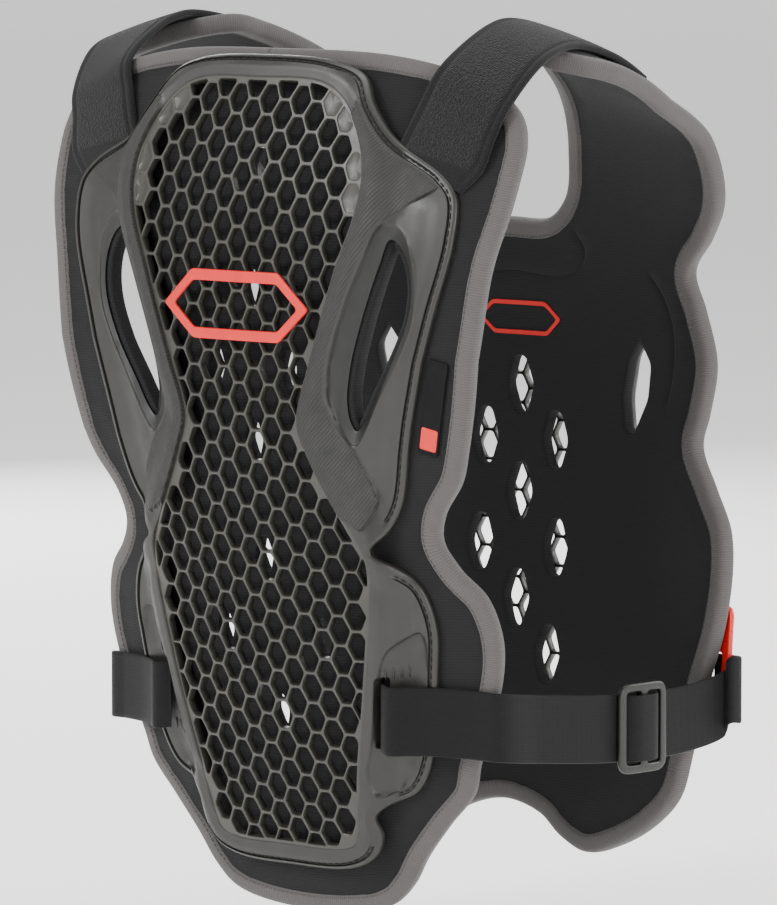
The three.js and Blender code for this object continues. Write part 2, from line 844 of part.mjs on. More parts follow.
add(
  "back_pad",
  padSolid(backEdge, backWindow, vents(BACK_VENTS, BACK_HALF_WIDTH, BACK_HEIGHT), backFace, backUpLines),
  "foam",
);
add("back_binding", binding(backEdge, backFace), "binding");
add("back_plate", plateSolid(backPlateEdge, backGrilleEdge, backWindow, backFace, backTop), "plate");
add("back_grille", grille(backGrilleEdge, backFace, BACK_RAISE), "plate");

// Shoulder straps
const PANELS = {
  front: { face: frontFace, halfWidth: FRONT_HALF_WIDTH, height: FRONT_HEIGHT },
  back: { face: backFace, halfWidth: BACK_HALF_WIDTH, height: BACK_HEIGHT },
};

const spline = (points) => new THREE.CatmullRomCurve3(points, false, "centripetal");

// A strap of even thickness between two edge curves, lying on the side that outwards points from.
function strap(near, far, count, thickness, side) {
  const sections = [];
  for (let i = 0; i <= count; i += 1) {
    const a = near.getPointAt(i / count);
    const b = far.getPointAt(i / count);
    const along = near.getTangentAt(i / count).add(far.getTangentAt(i / count));
    const out = b.clone().sub(a).cross(along).normalize().multiplyScalar(thickness * side);
    sections.push([a, b, b.clone().add(out), a.clone().add(out)]);
  }
  return loft(sections, false);
}

function shoulderStrap(side) {
  const edge = (name) =>
    spline(
      matrixRows(SHOULDER_PATH).map((row) => {
        const { face, halfWidth, height } = PANELS[row.panel];
        const across = side * row[`${name}Across`] * halfWidth;
        return face.at(across, row[`${name}Up`] * height, row.height * PAD);
      }),
    );
  return strap(edge("in"), edge("out"), 16, SHOULDER_STRAP_THICK, side);
}

// Waist straps, with the slider buckle and the hook of each
const upTo = (face, z) => {
  // Share of the panel's length at which its profile reaches the height z.
  let [low, high] = [0, 0.5];
  for (let i = 0; i < 30; i += 1) {
    const middle = (low + high) / 2;
    if (face.curve.getPointAt(middle).z < z) low = middle;
    else high = middle;
  }
  return low * face.length;
};

function waistMiddle(side) {
  const onFront = matrixRows(WAIST_FRONT).map(({ across, height }) =>
    frontFace.at(side * across * FRONT_HALF_WIDTH, upTo(frontFace, WAIST_Z), height * PAD),
  );
  const open = matrixRows(WAIST_OPEN).map(({ out, back, drop }) => {
    const y = BACK_CENTRE_Y - CHEST_DEPTH * (1 - back);
    return new THREE.Vector3(side * out * BACK_HALF_WIDTH, y, WAIST_Z - drop * WAIST_STRAP);
  });
  const onBack = matrixRows(WAIST_BACK).map(({ across, height }) =>
    backFace.at(side * across * BACK_HALF_WIDTH, upTo(backFace, WAIST_Z), height * PAD),
  );
  return spline([...onFront, ...open, ...onBack]);
}

const UP = new THREE.Vector3(0, 0, 1);
const shifted = (curve, distance) =>
  spline(curve.getPoints(60).map((p) => p.clone().addScaledVector(UP, distance)));

function waistStrap(side) {
  const middle = waistMiddle(side);
  const lower = shifted(middle, -WAIST_STRAP / 2);
  const upper = shifted(middle, WAIST_STRAP / 2);
  return strap(lower, upper, 28, WAIST_STRAP_THICK, -side);
}

const rectangle = (width, height, corner) => {
  const [x, y] = [width / 2, height / 2];
  return [
    [x - corner, -y],
    [x, -y + corner],
    [x, y - corner],
    [x - corner, y],
    [-x + corner, y],
    [-x, y - corner],
    [-x, -y + corner],
    [-x + corner, -y],
  ].map(([u, v]) => new THREE.Vector2(u, v));
};
const moved = (loop, x, y) => loop.map((p) => new THREE.Vector2(p.x + x, p.y + y));

// A flat fitting with openings, stood at a place with its face outwards.
function fitting(loop, holes, thickness, place, along, out) {
  const geometry = extruded(loop, holes, thickness);
  const up = new THREE.Vector3().crossVectors(out, along);
  geometry.applyMatrix4(new THREE.Matrix4().makeBasis(along, up, out).setPosition(place));
  geometry.deleteAttribute("normal");
  geometry.deleteAttribute("uv");
  return closed(geometry);
}

function sliderBuckle(side) {
  const middle = waistMiddle(side);
  const along = middle.getTangentAt(BUCKLE_PLACE).setZ(0).normalize().multiplyScalar(side);
  const out = new THREE.Vector3().crossVectors(along, UP);
  const place = middle.getPointAt(BUCKLE_PLACE);
  place.addScaledVector(out, WAIST_STRAP_THICK + SEAT);
  const slot = (BUCKLE_LENGTH - 3 * BUCKLE_BAR) / 2;
  const hole = rectangle(slot, slotHeight, 1);
  const offset = (slot + BUCKLE_BAR) / 2;
  const frame = rectangle(BUCKLE_LENGTH, slotHeight + 2 * BUCKLE_BAR, 4);
  const slots = [moved(hole, offset, 0), moved(hole, -offset, 0)];
  return fitting(frame, slots, BUCKLE_THICK, place, along, out);
}

function hookClip(side) {
  const u = side * HOOK_ACROSS * BACK_HALF_WIDTH;
  const v = upTo(backFace, WAIST_Z);
  const place = backFace.at(u, v, PAD + BINDING_PROUD + GAP);
  const ahead = backFace.at(u - side * HOOK_WIDTH / 2, v, 0);
  const along = ahead.sub(backFace.at(u + side * HOOK_WIDTH / 2, v, 0)).normalize().multiplyScalar(side);
  const up = backFace.at(u, v + HOOK_TAB, 0).sub(backFace.at(u, v - HOOK_TAB, 0)).normalize();
  const out = new THREE.Vector3().crossVectors(along, up).normalize();
  const height = slotHeight + 2 * HOOK_BAR + HOOK_TAB;
  const frame = moved(rectangle(HOOK_WIDTH, height, 4), 0, HOOK_TAB / 2);
  const hole = rectangle(HOOK_WIDTH - 2 * HOOK_BAR, slotHeight, 1.5);
  return fitting(frame, [hole], HOOK_THICK, place, along, out);
}

for (const [name, side] of [["left", 1], ["right", -1]]) {
  add(`shoulder_strap_${name}`, shoulderStrap(side), "webbing");
  add(`waist_strap_${name}`, waistStrap(side), "webbing");
  add(`slider_buckle_${name}`, sliderBuckle(side), "buckle");
  add(`hook_clip_${name}`, hookClip(side), "red");
}

// Badge on the chest grille and label on the chest panel's side
const badgeLoop = (width, height) => {
  const corner = height * 0.55;
  return [
    [width / 2, 0],
    [width / 2 - corner, height / 2],
    [-width / 2 + corner, height / 2],
    [-width / 2, 0],
    [-width / 2 + corner, -height / 2],
    [width / 2 - corner, -height / 2],
  ].map(([u, v]) => new THREE.Vector2(u, v + BADGE_UP));
};
const grilleTop = PAD + GAP + RIM + FRONT_RAISE;
const badgeOuter = badgeLoop(BADGE_WIDTH, BADGE_HEIGHT);
const badgeInner = badgeLoop(BADGE_WIDTH - 2.4 * BADGE_BAND, BADGE_HEIGHT - 2 * BADGE_BAND);
add(
  "chest_badge",
  bend(
    prism(badgeOuter, [badgeInner]),
    frontFace,
    level(grilleTop + GAP),
    level(grilleTop + GAP + BADGE_THICK),
    gridLines(...span(badgeOuter, "x"), CELL),
    [],
  ),
  "red",
);
const lean = THREE.MathUtils.degToRad(LABEL_CENTRE.lean);
const labelCentre = new THREE.Vector2(
  LABEL_CENTRE.across * FRONT_HALF_WIDTH,
  LABEL_CENTRE.up * FRONT_HEIGHT,
);
const labelLoop = rectangle(LABEL_WIDTH, LABEL_HEIGHT, 1.5).map((p) =>
  p.rotateAround(new THREE.Vector2(), -lean).add(labelCentre),
);
add(
  "side_label",
  bend(
    prism(labelLoop),
    frontFace,
    level(PAD + GAP),
    level(PAD + GAP + LABEL_THICK),
    [],
    gridLines(...span(labelLoop, "y"), CELL),
  ),
  "buckle",
);

export default group;
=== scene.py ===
"""Looks of the chest and back protector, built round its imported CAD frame.

Each panel is drawn flat, u across and v up in millimetres, and is then bent to the panel's inner
face by PanelFace, as the frame's solids are. Blender's scene is in metres.
"""

import math
from functools import partial

import bpy
import numpy as np
from bpy.props import FloatProperty, FloatVectorProperty, PointerProperty
from mathutils import Matrix, Vector, kdtree
from mathutils.geometry import delaunay_2d_cdt


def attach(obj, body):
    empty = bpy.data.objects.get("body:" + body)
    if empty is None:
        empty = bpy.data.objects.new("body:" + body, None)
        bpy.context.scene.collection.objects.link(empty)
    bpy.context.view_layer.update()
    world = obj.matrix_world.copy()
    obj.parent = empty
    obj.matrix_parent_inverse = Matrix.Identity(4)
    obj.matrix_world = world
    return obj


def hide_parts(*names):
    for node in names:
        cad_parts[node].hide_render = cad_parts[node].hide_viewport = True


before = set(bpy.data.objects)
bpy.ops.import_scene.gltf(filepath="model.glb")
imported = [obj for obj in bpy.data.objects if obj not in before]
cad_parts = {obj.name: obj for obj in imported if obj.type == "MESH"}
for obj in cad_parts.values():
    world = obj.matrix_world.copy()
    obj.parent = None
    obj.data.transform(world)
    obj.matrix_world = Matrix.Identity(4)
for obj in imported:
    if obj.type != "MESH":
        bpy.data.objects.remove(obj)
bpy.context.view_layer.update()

bl_info = {
    "name": "Chest and back protector",
    "version": (1, 0, 0),
    "blender": (4, 5, 0),
    "location": "3D View > Sidebar > Protector",
    "description": "Builds the visible pieces of a rider's chest and back protector",
    "category": "Object",
}

MM = 0.001
SIDES = {"left": 1, "right": -1}

# Sizes in mm that the frame's solids are built from
FRONT_HEIGHT = 524
FRONT_HALF_WIDTH = 182
FRONT_TOP_Z = 0
FRONT_FALL = 0.9924 * FRONT_HEIGHT
BACK_HEIGHT = 640
BACK_HALF_WIDTH = 189
BACK_TOP_Z = 6
BACK_RISE = 0.78125 * BACK_HEIGHT
CHEST_DEPTH = 240
BACK_CENTRE_Y = 138
PAD = 9
BINDING_WIDTH = 12
BINDING_PROUD = 1.2
RIM = 3.2
PLATE_WALL = 3
FRONT_RAISE = 9
BACK_RAISE = 6
PLATE_FLANK = 22
GRILLE_DEPTH = 5.2  # the fine web; the frame's coarse one is deeper
GAP = 0.5
WAIST_STRAP = 40
WAIST_STRAP_THICK = 1.8
SHOULDER_STRAP_THICK = 4
VENT_WIDTH = 20
VENT_HEIGHT = 35
CELL_FLAT = 0.42
PAD_WINDOW_INSET = 4
WAIST_Z = FRONT_TOP_Z - 0.7405 * FRONT_HEIGHT

# Side profiles of the two inner faces: forwards or back from the centre as a share of the depth,
# up as a share of the height, and the radius of the bend round the body as a share of the depth
FRONT_PROFILE = np.array([
    (0.78, 0.0, 1.875), (0.89, 0.236, 1.875), (0.952, 0.425, 1.875), (0.988, 0.549, 3.75),
    (1.0, 0.655, 6.25), (1.0, 0.803, 3.542), (0.947, 0.917, 2.75), (0.885, 1.0, 2.583),
])
BACK_PROFILE = np.array([
    (0.87, 0.0, 2.708), (0.942, 0.18, 2.708), (0.992, 0.382, 2.708), (1.0, 0.583, 2.917),
    (0.884, 0.784, 3.25), (0.7, 0.896, 2.708), (0.43, 0.958, 2.167), (0.14, 0.997, 2.167),
    (-0.15, 1.011, 2.167), (-0.46, 1.0, 2.167),
])

# Right halves of the outlines: across as a share of the half width, up as a share of the height
FRONT_EDGE = np.array([
    (0, 0.993), (0.44, 0.992), (0.69, 0.98), (0.85, 0.962), (0.93, 0.938), (0.965, 0.905),
    (0.965, 0.865), (0.95, 0.821), (0.905, 0.754), (0.872, 0.675), (0.83, 0.593), (0.77, 0.525),
    (0.682, 0.481), (0.662, 0.451), (0.705, 0.421), (0.79, 0.388), (0.828, 0.34), (0.812, 0.291),
    (0.757, 0.239), (0.707, 0.194), (0.675, 0.161), (0.575, 0.124), (0.478, 0.085), (0.408, 0.05),
    (0.32, 0.026), (0, 0.013),
])
BACK_EDGE = np.array([
    (0, 0.595), (0.16, 0.597), (0.26, 0.622), (0.32, 0.672), (0.375, 0.724), (0.45, 0.79),
    (0.51, 0.86), (0.52, 0.905), (0.6, 0.925), (0.74, 0.944), (0.86, 0.952), (0.94, 0.935),
    (0.985, 0.895), (1.0, 0.84), (0.995, 0.7), (0.955, 0.634), (0.862, 0.59), (0.765, 0.555),
    (0.8, 0.52), (0.84, 0.47), (0.8, 0.42), (0.77, 0.39), (0.84, 0.353), (0.92, 0.315),
    (0.935, 0.28), (0.905, 0.22), (0.84, 0.165), (0.79, 0.105), (0.745, 0.06), (0.64, 0.03),
    (0.49, 0.007), (0.36, -0.003), (0.25, 0.008), (0.15, 0.028), (0, 0.038),
])
FRONT_PLATE_EDGE = np.array([
    (0, 0.98), (0.26, 0.976), (0.385, 0.963), (0.455, 0.929), (0.545, 0.895), (0.72, 0.862),
    (0.782, 0.838), (0.788, 0.785), (0.725, 0.703), (0.64, 0.596), (0.565, 0.499), (0.505, 0.467),
    (0.45, 0.446), (0.515, 0.428), (0.59, 0.402), (0.628, 0.359), (0.618, 0.309), (0.563, 0.204),
    (0.5, 0.168), (0.39, 0.151), (0.358, 0.141), (0.365, 0.117), (0.33, 0.092), (0.23, 0.076),
    (0, 0.073),
])
FRONT_GRILLE_EDGE = np.array([
    (0, 0.956), (0.27, 0.952), (0.38, 0.927), (0.475, 0.866), (0.475, 0.815), (0.4, 0.744),
    (0.305, 0.647), (0.25, 0.586), (0.285, 0.55), (0.39, 0.477), (0.445, 0.436), (0.445, 0.397),
    (0.4, 0.296), (0.34, 0.194), (0.3, 0.122), (0.27, 0.102), (0, 0.097),
])
BACK_PLATE_EDGE = np.array([
    (0, 0.56), (0.33, 0.556), (0.45, 0.53), (0.62, 0.5), (0.68, 0.47), (0.665, 0.42), (0.6, 0.34),
    (0.5, 0.285), (0.52, 0.26), (0.66, 0.238), (0.71, 0.208), (0.7, 0.145), (0.63, 0.112),
    (0.48, 0.085), (0.36, 0.065), (0, 0.06),
])
BACK_GRILLE_EDGE = np.array([
    (0, 0.535), (0.27, 0.532), (0.345, 0.5), (0.34, 0.455), (0.265, 0.37), (0.275, 0.315),
    (0.325, 0.265), (0.32, 0.2), (0.265, 0.12), (0.23, 0.09), (0, 0.085),
])
BACK_WINDOW_EDGE = np.array([
    (0.52, 0.492), (0.575, 0.465), (0.555, 0.43), (0.485, 0.393), (0.44, 0.398), (0.43, 0.43),
    (0.46, 0.465),
])
BACK_VENTS = [(0, 0.435), (0.145, 0.384), (0, 0.333), (0.155, 0.282), (0, 0.231), (0.14, 0.18)]
FRONT_VENTS = [(0, 0.86), (0, 0.73), (0.15, 0.64), (0, 0.56), (0, 0.43), (0.2, 0.34), (0, 0.25)]

# Slot of the waist strap in the front plate's lower wing
SLOT_ACROSS = 0.425
SLOT_UP = 0.262
SLOT_WIDTH = 7
SLOT_HEIGHT = 42.4
SLOT_LEAN = 6

# Each side window of the front plate has a mouth, and walls that slope down to a smaller foot
WINDOW_MOUTH = np.array([
    (0.545, 0.803), (0.6, 0.797), (0.643, 0.768), (0.656, 0.733), (0.643, 0.698), (0.59, 0.656),
    (0.515, 0.612), (0.452, 0.574), (0.42, 0.562), (0.385, 0.571), (0.355, 0.589), (0.344, 0.612),
    (0.36, 0.647), (0.395, 0.687), (0.44, 0.728), (0.495, 0.77),
])
WINDOW_FOOT = np.array([
    (0.555, 0.788), (0.592, 0.782), (0.628, 0.76), (0.641, 0.732), (0.628, 0.701), (0.577, 0.66),
    (0.505, 0.618), (0.448, 0.585), (0.42, 0.577), (0.398, 0.588), (0.39, 0.61), (0.403, 0.64),
    (0.435, 0.68), (0.475, 0.72), (0.522, 0.762),
])
# The textured arm of the front plate, from its shoulder corner between window and grille to the
# waist: its edge towards the smooth wing, in shares as above
ARM_EDGE = np.array([
    (0.8, 0.875), (0.76, 0.857), (0.723, 0.847), (0.622, 0.827), (0.56, 0.811), (0.52, 0.792),
    (0.495, 0.77), (0.44, 0.728), (0.395, 0.687), (0.36, 0.647), (0.344, 0.612), (0.355, 0.589),
    (0.385, 0.571), (0.414, 0.557), (0.44, 0.542), (0.468, 0.521), (0.482, 0.5), (0.458, 0.484),
    (0.43, 0.47),
])
ARM_INNER = np.array([(0.3, 0.5), (0.2, 0.6), (0.3, 0.8), (0.45, 0.99)])
# The step that curls round the strap slot, and the hollow beside it
LEDGE_LINE = np.array([
    (0.57, 0.352), (0.51, 0.344), (0.462, 0.331), (0.437, 0.31), (0.42, 0.28), (0.376, 0.218),
    (0.352, 0.189), (0.372, 0.166),
])
LEDGE_OUTER = np.array([(0.44, 0.17), (0.53, 0.215), (0.585, 0.3), (0.585, 0.345)])

# Shoulder straps: panel, edge towards the neck, edge towards the arm, height as a share of the pad
SHOULDER_PATH = [
    ("front", 0.54, 0.886, 0.79, 0.842, 0.9), ("front", 0.57, 0.912, 0.855, 0.868, 1.067),
    ("front", 0.605, 0.945, 0.88, 0.906, 1.267), ("front", 0.635, 0.975, 0.905, 0.936, 1.4),
    ("back", 0.63, 0.975, 0.915, 0.985, 0.944),
    ("back", 0.625, 0.94, 0.9, 0.945, 1.333), ("back", 0.62, 0.91, 0.885, 0.91, 1.244),
    ("back", 0.615, 0.86, 0.88, 0.86, 1.2), ("back", 0.615, 0.83, 0.88, 0.83, 1.2),
    ("back", 0.615, 0.8, 0.88, 0.8, 1.2),
]
# Waist straps: across, height and drop on the front panel; out, back and drop in the open
WAIST_FRONT = [
    (0.435, 2.167, 0), (0.472, 2.778, 0.01), (0.52, 2.333, 0.03), (0.6, 1.844, 0.06),
    (0.72, 1.6, 0.11), (0.81, 1.56, 0.16),
]
WAIST_OPEN = [(0.815, 0.28, 0.2), (0.862, 0.52, 0.325), (0.894, 0.78, 0.325), (0.923, 0.91, 0.15)]
WAIST_BACK = [(0.948, 0.889), (0.942, 1.667), (0.912, 2), (0.87, 1.889), (0.835, 1.444)]
BUCKLE_PLACE = 0.62

# Fineness of the meshes, in mm
LOOP_STEP = 3.0
PROFILE_STEPS = 60
SPAN_STEPS = 20
CHUNK = 1500  # points measured against a line at a time
INSET_TRIES = 14
INSET_SLACK = 0.25


def from_hex(code):
    """The linear colour of an sRGB hex value."""
    parts = [int(code[i : i + 2], 16) / 255 for i in (1, 3, 5)]
    return [p / 12.92 if p <= 0.04045 else ((p + 0.055) / 1.055) ** 2.4 for p in parts] + [1.0]


def colour(name, description, code):
    """A colour property that starts from an sRGB hex value."""
    return FloatVectorProperty(
        name=name, description=description, subtype="COLOR", size=4, min=0, max=1, default=from_hex(code)
    )


def length(name, description, default):
    """A length property in metres, with its default in millimetres."""
    return FloatProperty(
        name=name, description=description, default=default * MM, min=0, subtype="DISTANCE", unit="LENGTH"
    )


class ProtectorSizes(bpy.types.PropertyGroup):
    """Sizes of the fine work that the frame's solids don't hold."""

    cell_across: length("Cell columns", "From one column of grille cells to the next", 11.3)
    cell_up: length("Cell rows", "From one cell to the next in its column", 17.7)
    cell_wall: length("Cell wall", "Wall between two grille cells", 1.8)
    plate_stitch: length("Plate stitch pitch", "From one stitch in the plate's groove to the next", 5.0)
    tape_stitch: length("Tape stitch pitch", "From one stitch of the edge tape to the next", 3.4)
    groove_inset: length("Groove inset", "From the plate's edge in to its stitched groove", 4.3)


class ProtectorColours(bpy.types.PropertyGroup):
    """Colours of the finishes."""

    cloth: colour("Cloth", "Knitted cloth over the foam", "#111112")
    tape: colour("Edge tape", "Brushed edge tape round both panels", "#4e4b4a")
    plate: colour("Plate", "Moulded plates", "#201f1c")
    # The grille is the plate's plastic painted lighter, a painted highlight for the web's lit rims.
    grille: colour("Grille", "Moulded honeycomb", "#33322d")
    pile: colour("Loop fabric", "Pile of the shoulder straps", "#0d0d0e")
    elastic: colour("Elastic", "Waist straps", "#0b0a0c")
    fitting: colour("Slider", "Slider buckles", "#141311")
    clip: colour("Clip", "Hook clips", "#c4120a")
    badge: colour("Badge", "Ring on the chest", "#d2160c")
    label: colour("Label", "Tag on the chest panel's side", "#060607")


# Curves and outlines


def catmull_rom(points, closed, steps):
    """A centripetal Catmull-Rom curve through points, with steps parts to each span."""
    p = np.asarray(points, float)
    count = len(p)
    t = (np.arange(steps) / steps)[:, None]
    parts = []
    for i in range(count if closed else count - 1):
        if closed:
            p0, p1, p2, p3 = (p[(i + k) % count] for k in (-1, 0, 1, 2))
        else:
            p1, p2 = p[i], p[i + 1]
            p0 = p[i - 1] if i else 2 * p1 - p2
            p3 = p[i + 2] if i + 2 < count else 2 * p2 - p1
        d0, d1, d2 = (np.linalg.norm(b - a) ** 0.5 for a, b in ((p0, p1), (p1, p2), (p2, p3)))
        m1 = ((p1 - p0) / d0 - (p2 - p0) / (d0 + d1) + (p2 - p1) / d1) * d1
        m2 = ((p2 - p1) / d1 - (p3 - p1) / (d1 + d2) + (p3 - p2) / d2) * d1
        parts.append(p1 + m1 * t + (3 * (p2 - p1) - 2 * m1 - m2) * t**2 + (2 * (p1 - p2) + m1 + m2) * t**3)
    if not closed:
        parts.append(p[-1:])
    return np.concatenate(parts)


def spaced(line, step, closed):
    """The line with its points evenly spaced, about step apart."""
    whole = np.concatenate([line, line[:1]]) if closed else line
    arc = np.concatenate([[0], np.cumsum(np.linalg.norm(np.diff(whole, axis=0), axis=1))])
    count = max(3, round(arc[-1] / step))
    at = np.linspace(0, arc[-1], count + 1)
    found = np.stack([np.interp(at, arc, whole[:, k]) for k in range(line.shape[1])], axis=1)
    return found[:-1] if closed else found


def anticlockwise(loop):
    """The loop, turned round if it runs clockwise."""
    x, y = loop.T
    area = np.sum(x * np.roll(y, -1) - y * np.roll(x, -1))
    return loop if area > 0 else loop[::-1]


def smooth_loop(table, half_width, height, step=LOOP_STEP):
    """A smooth closed outline through a table's points, in mm."""
    points = table * (half_width, height)
    return spaced(anticlockwise(catmull_rom(points, True, 12)), step, True)


def mirrored_loop(table, half_width, height, step=LOOP_STEP):
    """The whole outline from its right half."""
    left = table[1:-1][::-1] * (-1, 1)
    return smooth_loop(np.concatenate([table, left]), half_width, height, step)


def mirror(loop):
    """The loop on the other side of the centre line."""
    return anticlockwise(loop * (-1, 1))


def hexagon(centre, width, height):
    """An upright hexagon with a point at each side."""
    half = CELL_FLAT / 2
    corners = [(0.5, 0), (half, 0.5), (-half, 0.5), (-0.5, 0), (-half, -0.5), (half, -0.5)]
    return np.array([(centre[0] + x * width, centre[1] + y * height) for x, y in corners])


def rounded_corners(loop, radius, parts=4):
    """A polygon with its corners rounded by short curves."""
    found = []
    for i, corner in enumerate(loop):
        before, after = loop[i - 1], loop[(i + 1) % len(loop)]
        a, b = before - corner, after - corner
        start = corner + a * min(radius / np.linalg.norm(a), 0.45)
        end = corner + b * min(radius / np.linalg.norm(b), 0.45)
        for k in range(parts + 1):
            t = k / parts
            found.append((1 - t) ** 2 * start + 2 * t * (1 - t) * corner + t**2 * end)
    return np.array(found)


def inward_normals(loop):
    """Unit vectors from an anticlockwise loop's points towards its inside."""
    along = np.roll(loop, -1, 0) - np.roll(loop, 1, 0)
    along /= np.linalg.norm(along, axis=1)[:, None]
    return np.stack([-along[:, 1], along[:, 0]], axis=1)


def distances(points, line, closed=True):
    """Shortest distance from each point to a line through points."""
    a = line if closed else line[:-1]
    b = np.roll(line, -1, 0) if closed else line[1:]
    ab = b - a
    square = np.maximum((ab**2).sum(1), 1e-12)
    found = np.empty(len(points))
    for start in range(0, len(points), CHUNK):
        off = points[start : start + CHUNK, None] - a
        t = np.clip((off * ab).sum(2) / square, 0, 1)
        found[start : start + CHUNK] = np.sqrt(((off - t[..., None] * ab) ** 2).sum(2).min(1))
    return found


def inside(points, loop):
    """Whether each point lies in a closed loop."""
    found = np.empty(len(points), bool)
    ax, ay = loop.T
    bx, by = np.roll(loop, -1, 0).T
    rise = np.where(by == ay, 1e-12, by - ay)
    for start in range(0, len(points), CHUNK):
        x, y = points[start : start + CHUNK].T[:, :, None]
        crossed = ((ay > y) != (by > y)) & (x < (bx - ax) * (y - ay) / rise + ax)
        found[start : start + CHUNK] = crossed.sum(1) % 2 == 1
    return found


def signed(points, loop):
    """Distance from each point to a closed loop, negative outside."""
    return np.where(inside(points, loop), 1, -1) * distances(points, loop)


def inset_line(loop, distance):
    """A closed loop moved inwards, and less where the loop is too narrow for it."""
    normals = inward_normals(loop)
    reach = np.full(len(loop), float(distance))
    for _ in range(INSET_TRIES):
        moved = loop + normals * reach[:, None]
        tight = distances(moved, loop) < reach - INSET_SLACK
        reach[tight] -= distance / (INSET_TRIES + 1)
    reach = sum(np.roll(reach, k) for k in (-2, -1, 0, 1, 2)) / 5
    return loop + normals * reach[:, None]


def smoothstep(x, low, high):
    """0 below low, 1 above high, and smooth between."""
    t = np.clip((x - low) / (high - low), 0, 1)
    return t * t * (3 - 2 * t)


def bump(x, centre, half):
    """A smooth hump of height 1, from centre - half to centre + half."""
    t = np.clip(np.abs(x - centre) / half, 0, 1)
    return (1 - t * t) ** 2


def trough(x, centre, half, slope=0.2):
    """1 within half of the centre, and 0 beyond, with a short slope between."""
    return 1 - smoothstep(np.abs(x - centre), half - slope, half + slope)


def edge_drop(distance, radius):
    """How far a rounded edge falls away at a distance from its rim."""
    rest = radius - np.minimum(distance, radius)
    return radius - np.sqrt(np.maximum(radius**2 - rest**2, 0))


class PanelFace:
    """A panel's inner face: a side profile that wraps round the body, as in the frame."""

    def __init__(self, rows, outward):
        rows = np.asarray(rows, float)
        self.line = catmull_rom(rows[:, :2], False, PROFILE_STEPS)
        steps = np.linalg.norm(np.diff(self.line, axis=0), axis=1)
        self.arc = np.concatenate([[0], np.cumsum(steps)])
        self.length = self.arc[-1]
        share = np.linspace(0, len(rows) - 1, len(self.line))
        self.bends = np.interp(share, np.arange(len(rows)), 1 / rows[:, 2])
        self.along = np.gradient(self.line, axis=0)
        self.along /= np.linalg.norm(self.along, axis=1)[:, None]
        self.outward = outward

    def at(self, u, v, h):
        """Places in metres, u across and v up the panel and h outwards, in mm."""
        u, v, h = np.broadcast_arrays(*(np.asarray(x, float) for x in (u, v, h)))
        share = np.clip(v, 0, self.length)
        y, z = (np.interp(share, self.arc, self.line[:, k]) for k in (0, 1))
        along_y, along_z = (np.interp(share, self.arc, self.along[:, k]) for k in (0, 1))
        over = v - share
        radius = 1 / np.interp(share, self.arc, self.bends)
        angle = u / radius
        lift = (radius + h) * np.cos(angle) - radius
        return MM * np.stack(
            [
                (radius + h) * np.sin(angle),
                y + along_y * over + self.outward * along_z * lift,
                z + along_z * over - self.outward * along_y * lift,
            ],
            axis=-1,
        )

    def up_to(self, z):
        """How far up the panel its profile reaches the height z."""
        half = len(self.line) // 2
        return float(np.interp(z, self.line[:half, 1], self.arc[:half]))


FRONT = PanelFace(
    [
        (BACK_CENTRE_Y - CHEST_DEPTH * out, FRONT_TOP_Z - FRONT_FALL * (1 - up), wrap * CHEST_DEPTH)
        for out, up, wrap in FRONT_PROFILE
    ],
    -1,
)
BACK = PanelFace(
    [
        (BACK_CENTRE_Y * back, BACK_TOP_Z - BACK_RISE * (1 - up), wrap * CHEST_DEPTH)
        for back, up, wrap in BACK_PROFILE
    ],
    1,
)
PANELS = {"front": (FRONT, FRONT_HALF_WIDTH, FRONT_HEIGHT), "back": (BACK, BACK_HALF_WIDTH, BACK_HEIGHT)}


# Meshes


def mesh_object(name, verts, faces, smooth_angle):
    """A new object at the origin, with its faces shaded smooth up to an angle in degrees."""
    mesh = bpy.data.meshes.new(name)
    mesh.from_pydata(np.asarray(verts).tolist(), [], [tuple(int(i) for i in face) for face in faces])
    mesh.validate()
    mesh.shade_smooth()
    mesh.set_sharp_from_angle(angle=math.radians(smooth_angle))
    made = bpy.data.objects.new(name, mesh)
    bpy.context.scene.collection.objects.link(made)
    return made


def set_flat_map(made, places):
    """A UV map that holds each vertex's place on the flat panel, in metres."""
    loops = np.empty(len(made.data.loops), np.int32)
    made.data.loops.foreach_get("vertex_index", loops)
    layer = made.data.uv_layers.new(name="flat")
    layer.data.foreach_set("uv", (np.asarray(places)[loops] * MM).astype(np.float32).ravel())


def set_share(made, name, values):
    """A number for each vertex that a material reads."""
    layer = made.data.attributes.new(name, "FLOAT", "POINT")
    layer.data.foreach_set("value", np.asarray(values, np.float32))


ROW_BREAK = 4.5  # points of a row that are farther apart than this in mm aren't joined
ROW_KEPT = 0.97  # share of its distance that a ring's point must keep from its rim
GRID_ROWS = 0.866  # from one row of the grid to the next, as a share of its spacing
GRID_CLEAR = 0.55  # share of the spacing that the grid keeps from the rows
RIM_CLEAR = 0.6  # share of the first ring, or else of the spacing, that is clear beside a rim
MERGE = 1e-4
PIECE_SMOOTH = 40  # angles in degrees up to which pieces are shaded smooth
STRAP_SMOOTH = 50
TAPE_SMOOTH = 60


def thinned(points, taken, gap):
    """The points that lie at least gap from all those taken."""
    tree = kdtree.KDTree(len(taken))
    for i, (x, y) in enumerate(taken):
        tree.insert((x, y, 0), i)
    tree.balance()
    return np.array([p for p in points if tree.find((p[0], p[1], 0))[2] >= gap]).reshape(-1, 2)


def in_field(points, outline, holes):
    """Whether each point lies inside an outline and outside its holes."""
    found = inside(points, outline)
    for hole in holes:
        found &= ~inside(points, hole)
    return found


def ring_rows(loops, rings):
    """Rows of points at the rings' distances from every loop, the first of which is the outer one."""
    rows = []
    for k, loop in enumerate(loops):
        towards = 1 if k == 0 else -1
        for distance in rings:
            moved = loop + towards * distance * inward_normals(loop)
            rows.append(moved[distances(moved, loop) > distance * ROW_KEPT - 0.02])
    return rows


